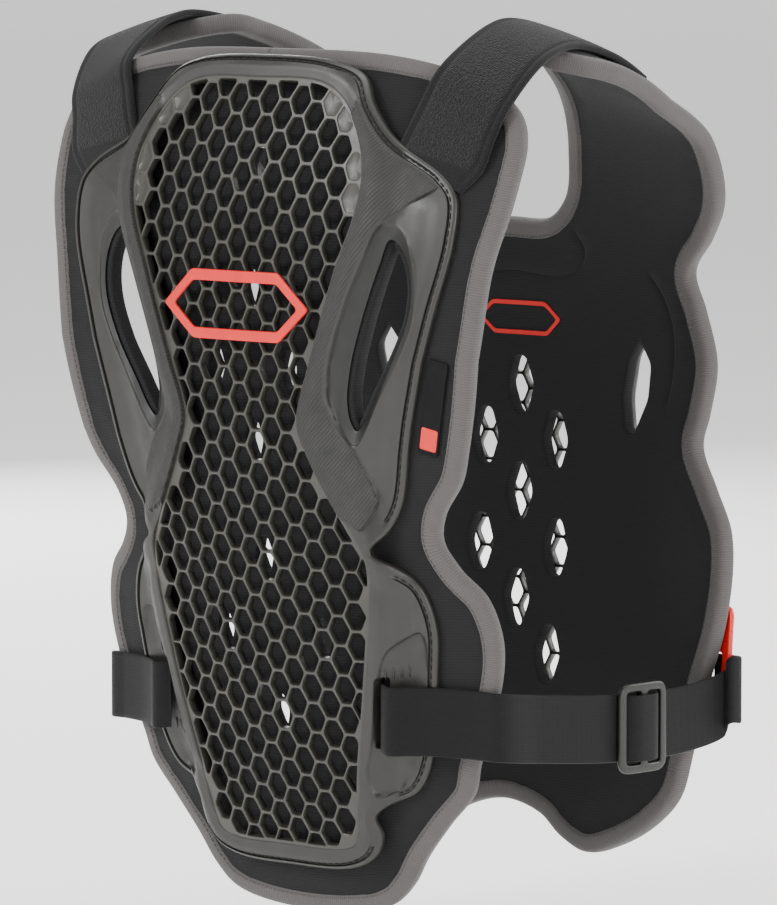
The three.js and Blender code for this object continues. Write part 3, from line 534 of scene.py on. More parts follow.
def grid_points(outline, taken, spacing):
    """A grid for even triangles inside an outline, clear of the points that are taken."""
    low, high = outline.min(0), outline.max(0)
    across = np.arange(low[0], high[0], spacing)
    up = np.arange(low[1], high[1], spacing * GRID_ROWS)
    grid = np.array([(x + (j % 2) * spacing / 2, y) for j, y in enumerate(up) for x in across])
    grid = grid[inside(grid, outline)]
    return thinned(grid, taken, spacing * GRID_CLEAR) if len(taken) else grid


def row_edges(rows, closed_rows, numbers):
    """Edges along the rows, the first of them closed. numbers has each point's number, or -1."""
    edges, place = [], 0
    for k, row in enumerate(rows):
        for i in range(len(row) if k < closed_rows else len(row) - 1):
            j = (i + 1) % len(row)
            ends = int(numbers[place + i]), int(numbers[place + j])
            if min(ends) >= 0 and np.linalg.norm(row[i] - row[j]) < ROW_BREAK:
                edges.append(ends)
        place += len(row)
    return edges


def flat_mesh(outline, holes, spacing, rings, lines):
    """Triangles that fill an outline with holes: vertices, triangles and rim edges.

    rings are distances from every rim, and lines are open lines, that get rows of vertices."""
    loops = [outline, *holes]
    rows = ring_rows(loops, rings)
    closed_rows = len(rows)
    rows += lines
    taken = np.concatenate(rows) if rows else np.empty((0, 2))
    points = np.concatenate([taken, grid_points(outline, taken, spacing)])
    nearest = np.min([distances(points, loop) for loop in loops], axis=0)
    kept = in_field(points, outline, holes) & (nearest > RIM_CLEAR * (rings[0] if rings else spacing))
    edges, start = [], 0
    for loop in loops:
        count = len(loop)
        edges += [(start + i, start + (i + 1) % count) for i in range(count)]
        start += count
    numbers = np.where(kept, np.cumsum(kept) - 1 + start, -1)
    edges += row_edges(rows, closed_rows, numbers)
    every = [Vector(p) for p in np.concatenate([*loops, points[kept]]).tolist()]
    verts, _, faces, *_ = delaunay_2d_cdt(every, edges, [], 0, MERGE)
    verts = np.array([tuple(v) for v in verts])
    faces = np.array([f for f in faces if len(f) == 3])
    faces = faces[in_field(verts[faces].mean(1), outline, holes)]
    a, b, c = verts[faces].transpose(1, 0, 2)
    turned = ((b - a)[:, 0] * (c - a)[:, 1] - (b - a)[:, 1] * (c - a)[:, 0]) < 0
    faces[turned] = faces[turned][:, ::-1]
    half_edges = np.concatenate([faces[:, [0, 1]], faces[:, [1, 2]], faces[:, [2, 0]]])
    seen = set(map(tuple, half_edges.tolist()))
    rim = [(i, j) for i, j in half_edges.tolist() if (j, i) not in seen]
    used = np.unique(faces)
    order = np.full(len(verts), -1)
    order[used] = np.arange(len(used))
    return verts[used], order[faces], [(order[i], order[j]) for i, j in rim]


def moulded(name, place, outline, holes=(), *, top, low, spacing, rings=(), lines=(), flip=False):
    """A closed solid over a flat outline. top and low give the heights of its two faces at flat
    points, place turns flat points and heights into places in metres, and flip turns it over."""
    flat, triangles, rim = flat_mesh(outline, list(holes), spacing, list(rings), list(lines))
    count = len(flat)
    verts = np.concatenate([place(*flat.T, top(flat)), place(*flat.T, low(flat))])
    faces = triangles.tolist() + (triangles[:, ::-1] + count).tolist()
    faces += [(j, i, i + count, j + count) for i, j in rim]
    if flip:
        faces = [face[::-1] for face in faces]
    made = mesh_object(name, verts, faces, PIECE_SMOOTH)
    set_flat_map(made, np.concatenate([flat, flat]))
    return made, flat


def swept(name, sections, places, smooth_angle, closed=False):
    """A solid through sections of as many points each, closed into a ring or capped at its ends."""
    count, size = sections.shape[:2]
    faces = []
    for i in range(count if closed else count - 1):
        j = (i + 1) % count
        for k in range(size):
            m = (k + 1) % size
            faces.append((i * size + k, i * size + m, j * size + m, j * size + k))
    if not closed:
        faces.append(tuple(range(size))[::-1])
        faces.append(tuple(range((count - 1) * size, count * size)))
    made = mesh_object(name, sections.reshape(-1, 3), faces, smooth_angle)
    set_flat_map(made, places.reshape(-1, 2))
    if signed_volume(made) < 0:
        made.data.flip_normals()
    return made


def signed_volume(made):
    """Volume of a closed mesh, negative if its faces point inwards."""
    made.data.calc_loop_triangles()
    co = np.empty(len(made.data.vertices) * 3)
    made.data.vertices.foreach_get("co", co)
    tri = np.empty(len(made.data.loop_triangles) * 3, np.int32)
    made.data.loop_triangles.foreach_get("vertices", tri)
    a, b, c = co.reshape(-1, 3)[tri.reshape(-1, 3)].transpose(1, 0, 2)
    return float((a * np.cross(b, c)).sum() / 6)


# Geometry Nodes


# The output that a node passes on, where it isn't its first
MAIN_OUTPUT = {
    "ShaderNodeTexCoord": "Object",
    "ShaderNodeTexNoise": "Fac",
    "ShaderNodeTexWave": "Fac",
    "ShaderNodeAttribute": "Fac",
    "ShaderNodeMix": 2,
}


def add_node(tree, kind, settings=None, inputs=None):
    """Adds a node with its settings; an input is a value, or the socket or node that feeds it."""
    made = tree.nodes.new(kind)
    for name, value in (settings or {}).items():
        setattr(made, name, value)
    for key, value in (inputs or {}).items():
        if isinstance(value, bpy.types.Node):
            value = value.outputs[MAIN_OUTPUT.get(value.bl_idname, 0)]
        if isinstance(value, bpy.types.NodeSocket):
            tree.links.new(value, made.inputs[key])
        else:
            made.inputs[key].default_value = value
    return made


def new_tree(name, inputs):
    """A geometry tree with named inputs and its input node."""
    tree = bpy.data.node_groups.new(name, "GeometryNodeTree")
    tree.interface.new_socket("Geometry", in_out="INPUT", socket_type="NodeSocketGeometry")
    for label, kind in inputs:
        tree.interface.new_socket(label, in_out="INPUT", socket_type=kind)
    tree.interface.new_socket("Geometry", in_out="OUTPUT", socket_type="NodeSocketGeometry")
    return tree, add_node(tree, "NodeGroupInput")


def close_tree(tree, geometry, material):
    """Ends a tree in plain geometry with its material."""
    real = add_node(tree, "GeometryNodeRealizeInstances", inputs={"Geometry": geometry})
    finished = add_node(tree, "GeometryNodeSetMaterial", inputs={"Geometry": real, "Material": material})
    add_node(tree, "NodeGroupOutput", inputs={"Geometry": finished})


def grown(name, base, tree, values):
    """The plain mesh that a tree makes from a base object, which is then removed."""
    modifier = base.modifiers.new(tree.name, "NODES")
    modifier.node_group = tree
    for item in tree.interface.items_tree:
        if item.in_out == "INPUT" and item.name in values:
            modifier[item.identifier] = values[item.name]
    evaluated = base.evaluated_get(bpy.context.evaluated_depsgraph_get())
    mesh = bpy.data.meshes.new_from_object(evaluated)
    mesh.name = name
    base.modifiers.clear()
    bpy.data.objects.remove(base)
    made = bpy.data.objects.new(name, mesh)
    bpy.context.scene.collection.objects.link(made)
    return made


STITCH_SIDES = 8
STITCH_RINGS = 5


def stitch_tree():
    """Rounded stitches at even steps along a line, each turned to follow it."""
    tree, given = new_tree(
        "Stitch run",
        [
            ("Pitch", "NodeSocketFloat"),
            ("Length", "NodeSocketFloat"),
            ("Width", "NodeSocketFloat"),
            ("Rise", "NodeSocketFloat"),
            ("Material", "NodeSocketMaterial"),
        ],
    )
    curve = add_node(tree, "GeometryNodeMeshToCurve", inputs={"Mesh": given.outputs["Geometry"]})
    steps = add_node(
        tree,
        "GeometryNodeResampleCurve",
        {"mode": "LENGTH"},
        {"Curve": curve, "Length": given.outputs["Pitch"]},
    )
    ball = add_node(
        tree,
        "GeometryNodeMeshUVSphere",
        inputs={"Segments": STITCH_SIDES, "Rings": STITCH_RINGS, "Radius": 0.5},
    )
    size = add_node(
        tree,
        "ShaderNodeCombineXYZ",
        inputs={"X": given.outputs["Width"], "Y": given.outputs["Rise"], "Z": given.outputs["Length"]},
    )
    stitch = add_node(tree, "GeometryNodeTransform", inputs={"Geometry": ball, "Scale": size})
    smooth = add_node(tree, "GeometryNodeSetShadeSmooth", inputs={"Geometry": stitch})
    along = add_node(tree, "GeometryNodeInputTangent")
    turned = add_node(tree, "FunctionNodeAlignRotationToVector", {"axis": "Z"}, {"Vector": along})
    outward = add_node(
        tree, "GeometryNodeInputNamedAttribute", {"data_type": "FLOAT_VECTOR"}, {"Name": "out"}
    )
    levelled = add_node(
        tree,
        "FunctionNodeAlignRotationToVector",
        {"axis": "Y", "pivot_axis": "Z"},
        {"Rotation": turned, "Vector": outward},
    )
    run = add_node(
        tree,
        "GeometryNodeInstanceOnPoints",
        inputs={"Points": steps, "Instance": smooth, "Rotation": levelled},
    )
    close_tree(tree, run, given.outputs["Material"])
    return tree


def stitch_run(name, tree, rows, pitch, size, material):
    """Stitches along rows, each a line of places and the way out of the surface at each."""
    verts, edges, ways = [], [], []
    for line, out in rows:
        start = len(verts)
        verts += line.tolist()
        ways += out.tolist()
        edges += [(start + i, start + i + 1) for i in range(len(line) - 1)]
    mesh = bpy.data.meshes.new(name)
    mesh.from_pydata(verts, edges, [])
    layer = mesh.attributes.new("out", "FLOAT_VECTOR", "POINT")
    layer.data.foreach_set("vector", np.asarray(ways, np.float32).ravel())
    base = bpy.data.objects.new(name, mesh)
    bpy.context.scene.collection.objects.link(base)
    values = {
        "Pitch": pitch,
        "Length": size[0],
        "Width": size[1],
        "Rise": size[2],
        "Material": material,
    }
    return grown(name, base, tree, values)


GREATER = ("FunctionNodeCompare", {"operation": "GREATER_THAN"})
# Kinds of faces in a sheet of cells
BORDER = 0.0
BLIND = 1.0
OPEN = 2.0
CELL_WELD = 2e-5
CELL_CREASE = 0.7
CELL_CREASE_ANGLE = 1.25  # edges that turn more than this angle in radians stay crisp


def honeycomb_tree():
    """Turns a sheet of flat cells into a web: each open cell becomes a hole with rounded corners,
    and each blind one a shallow dimple."""
    tree, given = new_tree(
        "Honeycomb web",
        [
            ("Opening", "NodeSocketFloat"),
            ("Dimple", "NodeSocketFloat"),
            ("Depth", "NodeSocketFloat"),
            ("Material", "NodeSocketMaterial"),
        ],
    )
    kind = add_node(tree, "GeometryNodeInputNamedAttribute", {"data_type": "FLOAT"}, {"Name": "kind"})
    is_cell = add_node(tree, *GREATER, {0: kind, 1: (BORDER + BLIND) / 2})
    is_open = add_node(tree, *GREATER, {0: kind, 1: (BLIND + OPEN) / 2})
    painted_wall_shade = add_node(
        tree,
        "GeometryNodeExtrudeMesh",
        {"mode": "FACES"},
        {"Mesh": given.outputs["Geometry"], "Selection": is_cell, "Offset Scale": 0.0, "Individual": True},
    )
    inner = add_node(
        tree,
        "GeometryNodeScaleElements",
        {"domain": "FACE"},
        {"Geometry": painted_wall_shade, "Selection": painted_wall_shade.outputs["Top"], "Scale": given.outputs["Opening"]},
    )
    hole = add_node(
        tree, "FunctionNodeBooleanMath", {"operation": "AND"}, {0: painted_wall_shade.outputs["Top"], 1: is_open}
    )
    pierced = add_node(
        tree,
        "GeometryNodeDeleteGeometry",
        {"domain": "FACE", "mode": "ALL"},
        {"Geometry": inner, "Selection": hole},
    )
    under = add_node(tree, "GeometryNodeFlipFaces", inputs={"Mesh": pierced})
    raised = add_node(
        tree,
        "GeometryNodeExtrudeMesh",
        {"mode": "FACES"},
        {"Mesh": pierced, "Offset Scale": given.outputs["Depth"], "Individual": False},
    )
    blind = add_node(
        tree,
        "FunctionNodeBooleanMath",
        {"operation": "AND"},
        {0: painted_wall_shade.outputs["Top"], 1: raised.outputs["Top"]},
    )
    sunk = add_node(
        tree,
        "GeometryNodeExtrudeMesh",
        {"mode": "FACES"},
        {"Mesh": raised, "Selection": blind, "Offset Scale": given.outputs["Dimple"], "Individual": True},
    )
    both = add_node(tree, "GeometryNodeJoinGeometry")
    tree.links.new(under.outputs[0], both.inputs[0])
    tree.links.new(sunk.outputs["Mesh"], both.inputs[0])
    welded = add_node(tree, "GeometryNodeMergeByDistance", inputs={"Geometry": both, "Distance": CELL_WELD})
    turn = add_node(tree, "GeometryNodeInputMeshEdgeAngle")
    crisp = add_node(tree, *GREATER, {0: turn, 1: CELL_CREASE_ANGLE})
    crease = add_node(tree, "ShaderNodeMath", {"operation": "MULTIPLY"}, {0: crisp, 1: CELL_CREASE})
    rounded = add_node(
        tree, "GeometryNodeSubdivisionSurface", inputs={"Mesh": welded, "Level": 1, "Edge Crease": crease}
    )
    smooth = add_node(tree, "GeometryNodeSetShadeSmooth", inputs={"Geometry": rounded})
    close_tree(tree, smooth, given.outputs["Material"])
    return tree


def clipped(polygon, window):
    """The part of a polygon that lies in a convex window."""
    for i, a in enumerate(window):
        b = window[(i + 1) % len(window)]
        side = [(b[0] - a[0]) * (p[1] - a[1]) - (b[1] - a[1]) * (p[0] - a[0]) for p in polygon]
        kept = []
        for k, p in enumerate(polygon):
            q, here, there = polygon[(k + 1) % len(polygon)], side[k], side[(k + 1) % len(polygon)]
            if here >= 0:
                kept.append(p)
            if (here >= 0) != (there >= 0):
                kept.append(p + (q - p) * (here / (here - there)))
        polygon = kept
        if len(polygon) < 3:
            return []
    return polygon


def area_of(polygon):
    """Area of a flat polygon."""
    x, y = np.asarray(polygon).T
    return abs(np.sum(x * np.roll(y, -1) - y * np.roll(x, -1))) / 2


EDGE_CUTS = (0.3, 0.7)  # where each side of a cell gets two more points, so that its corners round
LONG_SIDE = 0.35  # share of a cell's height from which a side gets them
CELL_BORDER = 2.6  # solid border round the cells
NEAR_BORDER = 0.6  # share of a cell's height within which the border may cut it
WHOLE_CELL = 0.35  # share of a cell that must lie within the border for it to be open
SLIVER = 0.002  # share of a cell below which it is dropped
SAME_PLACE = 0.02  # vertices nearer than this in mm are one
ON_BORDER = 0.03
CELL_DIMPLE = 0.8
CELL_SMOOTH = 36  # angle in degrees up to which the web is shaded smooth


class CellSheet:
    """Flat faces that share their vertices, with a kind for each."""

    def __init__(self):
        self.verts, self.faces, self.kinds = [], [], []
        self.numbers = {}

    def add(self, ring, kind):
        """Adds a face."""
        self.faces.append(ring)
        self.kinds.append(kind)

    def vertex(self, p):
        """The number of the vertex at p, which is made if there is none."""
        column, row = (round(c / SAME_PLACE) for c in p)
        for i in (0, -1, 1):
            for j in (0, -1, 1):
                if (column + i, row + j) in self.numbers:
                    return self.numbers[column + i, row + j]
        self.numbers[column, row] = len(self.verts)
        self.verts.append(p)
        return self.numbers[column, row]

    def ring(self, shape, long_side):
        """The vertices round a shape, with two more on each long side."""
        found = []
        for k, p in enumerate(shape):
            q = shape[(k + 1) % len(shape)]
            found.append(self.vertex(p))
            if np.linalg.norm(q - p) > long_side:
                found += [self.vertex(p + (q - p) * t) for t in EDGE_CUTS]
        return [v for k, v in enumerate(found) if v != found[k - 1]]

    def add_border(self, cut, field, outline):
        """Fills the strip from the field out to the outline, through the vertices of cut cells."""
        places = np.array(self.verts)
        rim = np.array(sorted(cut))
        rim = rim[distances(places[rim], field) < ON_BORDER]
        sides = np.roll(field, -1, 0) - field
        arc = np.concatenate([[0], np.cumsum(np.linalg.norm(sides, axis=1))])
        found = []
        for v in rim:
            off = places[v] - field
            t = np.clip((off * sides).sum(1) / (sides**2).sum(1), 0, 1)
            k = int(np.argmin(np.linalg.norm(off - t[:, None] * sides, axis=1)))
            found.append((arc[k] + t[k] * (arc[k + 1] - arc[k]), int(v), k, t[k]))
        found.sort()
        reach = outline - field
        outer = []
        for _, v, k, t in found:
            offset = reach[k] * (1 - t) + reach[(k + 1) % len(field)] * t
            outer.append(len(self.verts))
            self.verts.append(places[v] + offset)
        for i, (_, v, _, _) in enumerate(found):
            j = (i + 1) % len(found)
            self.add([v, outer[i], outer[j], found[j][1]], BORDER)


def cell_shape(centre, window, field, up):
    """What of a cell lies in the field, and whether the field's border cuts it."""
    within = inside(window, field)
    near = distances(centre[None], field)[0] < NEAR_BORDER * up
    if within.all() and not near:
        return list(window), False
    if within.any() or near:
        return clipped(list(field), window), True
    return [], False


def honeycomb_cells(outline, across, up, blind):
    """Flat cells that fill an outline, and the border round them: vertices, faces and kinds."""
    field = inset_line(outline, CELL_BORDER)
    width = 2 * across / (1 + CELL_FLAT)
    whole = area_of(hexagon((0, 0), width, up))
    low, high = field.min(0), field.max(0)
    columns = math.ceil(high[0] / across)
    sheet, cut_vertices = CellSheet(), set()
    for column in range(-columns, columns + 1):
        shift = 0.5 if column % 2 else 0
        for row in range(math.floor(low[1] / up) - 1, math.ceil(high[1] / up) + 1):
            centre = np.array([column * across, (row + shift) * up])
            shape, cut = cell_shape(centre, hexagon(centre, width, up), field, up)
            if len(shape) < 3 or area_of(shape) < SLIVER * whole:
                continue
            ring = sheet.ring(shape, LONG_SIDE * up)
            if len(ring) < 3:
                continue
            kind = BORDER
            if area_of(shape) > WHOLE_CELL * whole:
                kind = BLIND if blind(np.mean([sheet.verts[v] for v in ring], axis=0)) else OPEN
            sheet.add(ring, kind)
            if cut:
                cut_vertices.update(ring)
    sheet.add_border(cut_vertices, field, outline)
    return np.array(sheet.verts), sheet.faces, sheet.kinds


def honeycomb(name, tree, face, outline, height, sizes, blind, material):
    """A moulded honeycomb web on a panel, with its top at a height over the inner face."""
    flat, cells, kinds = honeycomb_cells(outline, sizes.cell_across / MM, sizes.cell_up / MM, blind)
    outwards = face.outward < 0
    verts = face.at(*flat.T, height - GRILLE_DEPTH)
    cells = [c if outwards else c[::-1] for c in cells]
    mesh = bpy.data.meshes.new(name)
    mesh.from_pydata(verts.tolist(), [], cells)
    layer = mesh.attributes.new("kind", "FLOAT", "FACE")
    layer.data.foreach_set("value", np.array(kinds, np.float32))
    base = bpy.data.objects.new(name, mesh)
    bpy.context.scene.collection.objects.link(base)
    values = {
        "Opening": 1 - sizes.cell_wall / sizes.cell_up,
        "Dimple": -CELL_DIMPLE * MM,
        "Depth": GRILLE_DEPTH * MM,
        "Material": material,
    }
    made = grown(name, base, tree, values)
    made.data.set_sharp_from_angle(angle=math.radians(CELL_SMOOTH))
    return made


# Materials


# Nodes that the materials share, as a kind with its settings
MULTIPLY = ("ShaderNodeMath", {"operation": "MULTIPLY"})
ADD = ("ShaderNodeMath", {"operation": "ADD"})
MULTIPLY_ADD = ("ShaderNodeMath", {"operation": "MULTIPLY_ADD"})
MIX = ("ShaderNodeMix", {"data_type": "RGBA"})
BANDS_ACROSS = ("ShaderNodeTexWave", {"bands_direction": "X"})
BANDS_UP = ("ShaderNodeTexWave", {"bands_direction": "Y"})
FLAT_MAP = ("ShaderNodeUVMap", {"uv_map": "flat"})
NOISE = ("ShaderNodeTexNoise", {})
OBJECT_PLACE = "ShaderNodeTexCoord"
MAP_RANGE = "ShaderNodeMapRange"
# The sockets of the two colours of a Mix node, whose names its other sockets share
MIX_FIRST = 6
MIX_SECOND = 7

WAVE_SCALE = 2 * math.pi / 20  # scale of a wave with one band to the unit

# Real sizes of the patterns in mm
KNIT_ROW = 1.7  # the real rows are near 0.9 mm, too fine to show
TAPE_RIB = 1.5
PILE_LOOP = 1.3
PILE_GROUND = 1.1
ELASTIC_CORD = 1.3
ELASTIC_PICK = 1.0
PLATE_RIB = 1.7
PLATE_RIB_TURN = 38  # in degrees
KNIT_FUZZ = 0.714
TAPE_FUZZ = 0.625
FIBRE_TANGLE = 1.111
WORN_PATCH = 22.2
SOILED_PATCH = 33.3
MOULD_GRAIN = 0.3846
MOULD_CLOUD = 45.45
MOULD_GLOSS = 7.692
FLOW_MARK = 16.67
SCUFF = 2.381
POLISH = 0.5556
THREAD_TWIST = 0.4


def new_material(name):
    """An empty material, and the function that adds a node to it."""
    made = bpy.data.materials.new(name)
    made.use_nodes = True
    made.node_tree.nodes.clear()
    return made, partial(add_node, made.node_tree)


def close_material(made, sockets):
    """Ends a material in one shader, with a value or a node for each socket."""
    shader = add_node(made.node_tree, "ShaderNodeBsdfPrincipled", inputs=sockets)
    add_node(made.node_tree, "ShaderNodeOutputMaterial", inputs={"Surface": shader})
    return made


def cycles(size):
    """Cycles to the metre of a pattern with a size in mm."""
    return 1 / (size * MM)


def grain(vector, size, detail):
    """The inputs of a noise with a grain of a size in mm."""
    return {"Vector": vector, "Scale": cycles(size), "Detail": detail, "Roughness": 0.6}


def stripes(vector, pitch, distortion):
    """The inputs of a wave whose bands lie one pitch apart, in mm."""
    return {"Vector": vector, "Scale": cycles(pitch) * WAVE_SCALE, "Distortion": distortion, "Detail": 1.0}


def tone(base, factor):
    """A colour made lighter or darker by a factor."""
    return [min(1.0, c * factor) for c in base[:3]] + [1.0]


def graded(node, pattern, low, high, first, second, most=1.0):
    """A colour that goes from the first to the second as a pattern rises from low to high."""
    share = node(MAP_RANGE, inputs={"Value": pattern, "From Min": low, "From Max": high, "To Max": most})
    return node(*MIX, {"Factor": share, MIX_FIRST: first, MIX_SECOND: second})


def relief(node, height, distance, strength=1.0):
    """The normal of a surface that a height from 0 to 1 raises by a distance in mm."""
    return node("ShaderNodeBump", inputs={"Height": height, "Distance": distance * MM, "Strength": strength})


def knitted_cloth(colours):
    """Polyester knit, brushed and laminated to foam: fine crosswise rows, soft and almost matt."""
    made, node = new_material("knitted_polyester_over_foam")
    base = colours.cloth
    flat = node(*FLAT_MAP)
    rows = node(*BANDS_UP, stripes(flat, KNIT_ROW, 0.6))
    fuzz = node(*NOISE, grain(flat, KNIT_FUZZ, 3.0))
    patches = node(*NOISE, grain(flat, WORN_PATCH, 3.0))
    knit = node(*MULTIPLY_ADD, {0: rows, 1: 0.3, 2: node(*MULTIPLY, {0: fuzz, 1: 0.9})})
    shade = graded(node, knit, 0.3, 0.95, tone(base, 0.5), tone(base, 2.5))
    sockets = {
        "Base Color": graded(node, patches, 0.35, 0.75, shade, tone(base, 1.5), 0.35),
        "Roughness": 0.92,
        "Sheen Weight": 0.06,
        "Sheen Roughness": 0.5,
        "Specular IOR Level": 0.25,
        "Normal": relief(node, knit, 0.35),
    }
    return close_material(made, sockets)


def edge_tape(colours):
    """Nylon edge tape, knitted and brushed: fine ribs across it, a soft nap and a dull sheen."""
    made, node = new_material("brushed_nylon_edge_tape")
    base = colours.tape
    flat, place = node(*FLAT_MAP), node(OBJECT_PLACE)
    ribs = node(*BANDS_ACROSS, stripes(flat, TAPE_RIB, 1.2))
    fuzz = node(*NOISE, grain(flat, TAPE_FUZZ, 4.0))
    soil = node(*NOISE, grain(place, SOILED_PATCH, 3.0))
    nap = node(*MULTIPLY_ADD, {0: ribs, 1: 0.5, 2: node(*MULTIPLY, {0: fuzz, 1: 0.6})})
    shade = graded(node, nap, 0.25, 0.95, tone(base, 0.72), tone(base, 1.14))
    sockets = {
        "Base Color": graded(node, soil, 0.45, 0.75, shade, tone(base, 0.7), 0.25),
        "Roughness": 0.85,
        "Sheen Weight": 0.15,
        "Sheen Roughness": 0.4,
        "Normal": relief(node, nap, 0.3),
    }
    return close_material(made, sockets)


def moulded_plastic(name, base, ribbed, roughness):
    """Injection-moulded polyurethane from a spark-eroded tool: fine even grain and a satin gloss.
    A ribbed one has lines, and painted shade on each window's wall, where the piece's attributes say so."""
    made, node = new_material(name)
    place = node(OBJECT_PLACE)
    sparks = node(*NOISE, grain(place, MOULD_GRAIN, 2.0))
    cloud = node(*NOISE, grain(place, MOULD_CLOUD, 4.0))
    gleam = node(*NOISE, grain(place, MOULD_GLOSS, 5.0))
    shade = graded(node, cloud, 0.3, 0.7, tone(base, 0.86), tone(base, 1.12))
    height = node(*MULTIPLY, {0: sparks, 1: 0.35})
    reach = {"From Min": 0.3, "From Max": 0.7, "To Min": roughness - 0.05, "To Max": roughness + 0.1}
    gloss = node(MAP_RANGE, inputs={"Value": gleam, **reach})
    if ribbed:
        ribs = node("ShaderNodeAttribute", {"attribute_name": "ribbed"})
        painted_wall_shade = node("ShaderNodeAttribute", {"attribute_name": "wall"})
        turned = {"Vector": node(*FLAT_MAP), "Rotation": (0, 0, math.radians(PLATE_RIB_TURN))}
        flat = node("ShaderNodeMapping", inputs=turned)
        lines = node(*BANDS_ACROSS, stripes(flat, PLATE_RIB, 0.4))
        lined = node(*MIX, {"Factor": lines, MIX_FIRST: tone(base, 0.25), MIX_SECOND: tone(base, 0.95)})
        shade = node(*MIX, {"Factor": ribs, MIX_FIRST: shade, MIX_SECOND: lined})
        # Painted shade: each window's wall is darkened to about a fifth of the base colour.
        shade = node(*MIX, {"Factor": painted_wall_shade, MIX_FIRST: shade, MIX_SECOND: tone(base, 0.22)})
        height = node(*MULTIPLY_ADD, {0: node(*MULTIPLY, {0: lines, 1: 2.0}), 1: ribs, 2: height})
        gloss = node(*MULTIPLY_ADD, {0: ribs, 1: 0.14, 2: gloss})
    sockets = {"Base Color": shade, "Roughness": gloss, "Normal": relief(node, height, 0.12)}
    return close_material(made, sockets)


def loop_pile(colours):
    """Brushed loop fabric for hook tape: a dense tangle of nylon loops, dark and matt."""
    made, node = new_material("nylon_loop_pile")
    base = colours.pile
    flat, place = node(*FLAT_MAP), node(OBJECT_PLACE)
    pile = node("ShaderNodeAttribute", {"attribute_name": "pile"})
    loops = node("ShaderNodeTexVoronoi", {"feature": "F1"}, {"Vector": place, "Scale": cycles(PILE_LOOP)})
    tangle = node(*NOISE, grain(place, FIBRE_TANGLE, 5.0))
    curls = node(*ADD, {0: loops, 1: tangle})
    rows = node(*BANDS_ACROSS, stripes(flat, PILE_GROUND, 0.5))
    woven = graded(node, rows, 0.2, 0.8, tone(base, 0.6), tone(base, 1.2))
    napped = graded(node, curls, 0.6, 1.25, tone(base, 0.35), tone(base, 2.6))
    height = node(*MULTIPLY_ADD, {0: curls, 1: pile, 2: node(*MULTIPLY, {0: rows, 1: 0.3})})
    sockets = {
        "Base Color": node(*MIX, {"Factor": pile, MIX_FIRST: woven, MIX_SECOND: napped}),
        "Roughness": 0.95,
        "Sheen Weight": 0.08,
        "Sheen Roughness": 0.6,
        "Specular IOR Level": 0.2,
        "Normal": relief(node, height, 0.8),
    }
    return close_material(made, sockets)


def woven_elastic(colours):
    """Woven polyester elastic: fine cords along it, crossed by close picks, with a slight lustre."""
    made, node = new_material("woven_elastic_webbing")
    base = colours.elastic
    flat = node(*FLAT_MAP)
    cords = node(*BANDS_UP, stripes(flat, ELASTIC_CORD, 0.0))
    picks = node(*BANDS_ACROSS, stripes(flat, ELASTIC_PICK, 0.0))
    fuzz = node(*NOISE, grain(flat, FIBRE_TANGLE, 3.0))
    crossed = node(*MULTIPLY, {0: cords, 1: picks})
    weave = node(*MULTIPLY_ADD, {0: crossed, 1: 0.6, 2: node(*MULTIPLY, {0: fuzz, 1: 0.5})})
    sockets = {
        "Base Color": graded(node, weave, 0.2, 0.85, tone(base, 0.7), tone(base, 1.4)),
        "Roughness": 0.7,
        "Sheen Weight": 0.06,
        "Sheen Roughness": 0.4,
        "Specular IOR Level": 0.2,
        "Normal": relief(node, weave, 0.25),
    }
    return close_material(made, sockets)


def hard_plastic(name, base, roughness, coat=0.0, specular=0.5):
    """Acetal or nylon, moulded in a polished tool: smooth, with faint flow marks."""
    made, node = new_material(name)
    place = node(OBJECT_PLACE)
    flow = node(*NOISE, grain(place, FLOW_MARK, 4.0))
    scuffs = node(*NOISE, grain(place, SCUFF, 5.0))
    skin = node(*NOISE, grain(place, POLISH, 2.0))
    reach = {"From Min": 0.35, "From Max": 0.75, "To Min": roughness - 0.04, "To Max": roughness + 0.12}
    sockets = {
        "Base Color": graded(node, flow, 0.3, 0.7, tone(base, 0.88), tone(base, 1.08)),
        "Roughness": node(MAP_RANGE, inputs={"Value": scuffs, **reach}),
        "Coat Weight": coat,
        "Specular IOR Level": specular,
        "Normal": relief(node, skin, 0.04),
    }
    return close_material(made, sockets)


def sewing_thread(name, base):
    """Bonded polyester thread: twisted, with a small gloss."""
    made, node = new_material(name)
    place = node(OBJECT_PLACE)
    twist = node(*NOISE, grain(place, THREAD_TWIST, 2.0))
    shade = graded(node, twist, 0.3, 0.7, tone(base, 0.6), tone(base, 1.3))
    return close_material(made, {"Base Color": shade, "Roughness": 0.6, "Normal": relief(node, twist, 0.1)})


def dress(made, material, replaces=()):
    """Gives a piece its material and its body, and hides the solids that it stands for."""
    made.data.materials.clear()
    made.data.materials.append(material)
    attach(made, "root")
    if replaces:
        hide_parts(*replaces)
    return made


# Panels


def frame_loops():
    """The outlines that several pieces share, in mm on the flat panels."""
    front = (FRONT_HALF_WIDTH, FRONT_HEIGHT)
    back = (BACK_HALF_WIDTH, BACK_HEIGHT)
    return {
        "front_edge": mirrored_loop(FRONT_EDGE, *front, 2.0),
        "front_plate": mirrored_loop(FRONT_PLATE_EDGE, *front, 1.9),
        "front_grille": mirrored_loop(FRONT_GRILLE_EDGE, *front, 2.4),
        "front_mouth": smooth_loop(WINDOW_MOUTH, *front, 1.6),
        "front_foot": smooth_loop(WINDOW_FOOT, *front, 1.6),
        "back_edge": mirrored_loop(BACK_EDGE, *back, 2.0),
        "back_plate": mirrored_loop(BACK_PLATE_EDGE, *back, 2.4),
        "back_grille": mirrored_loop(BACK_GRILLE_EDGE, *back, 2.4),
        "back_foot": spaced(anticlockwise(rounded_corners(BACK_WINDOW_EDGE * back, 4)), 1.6, True),
    }


LOOPS = frame_loops()


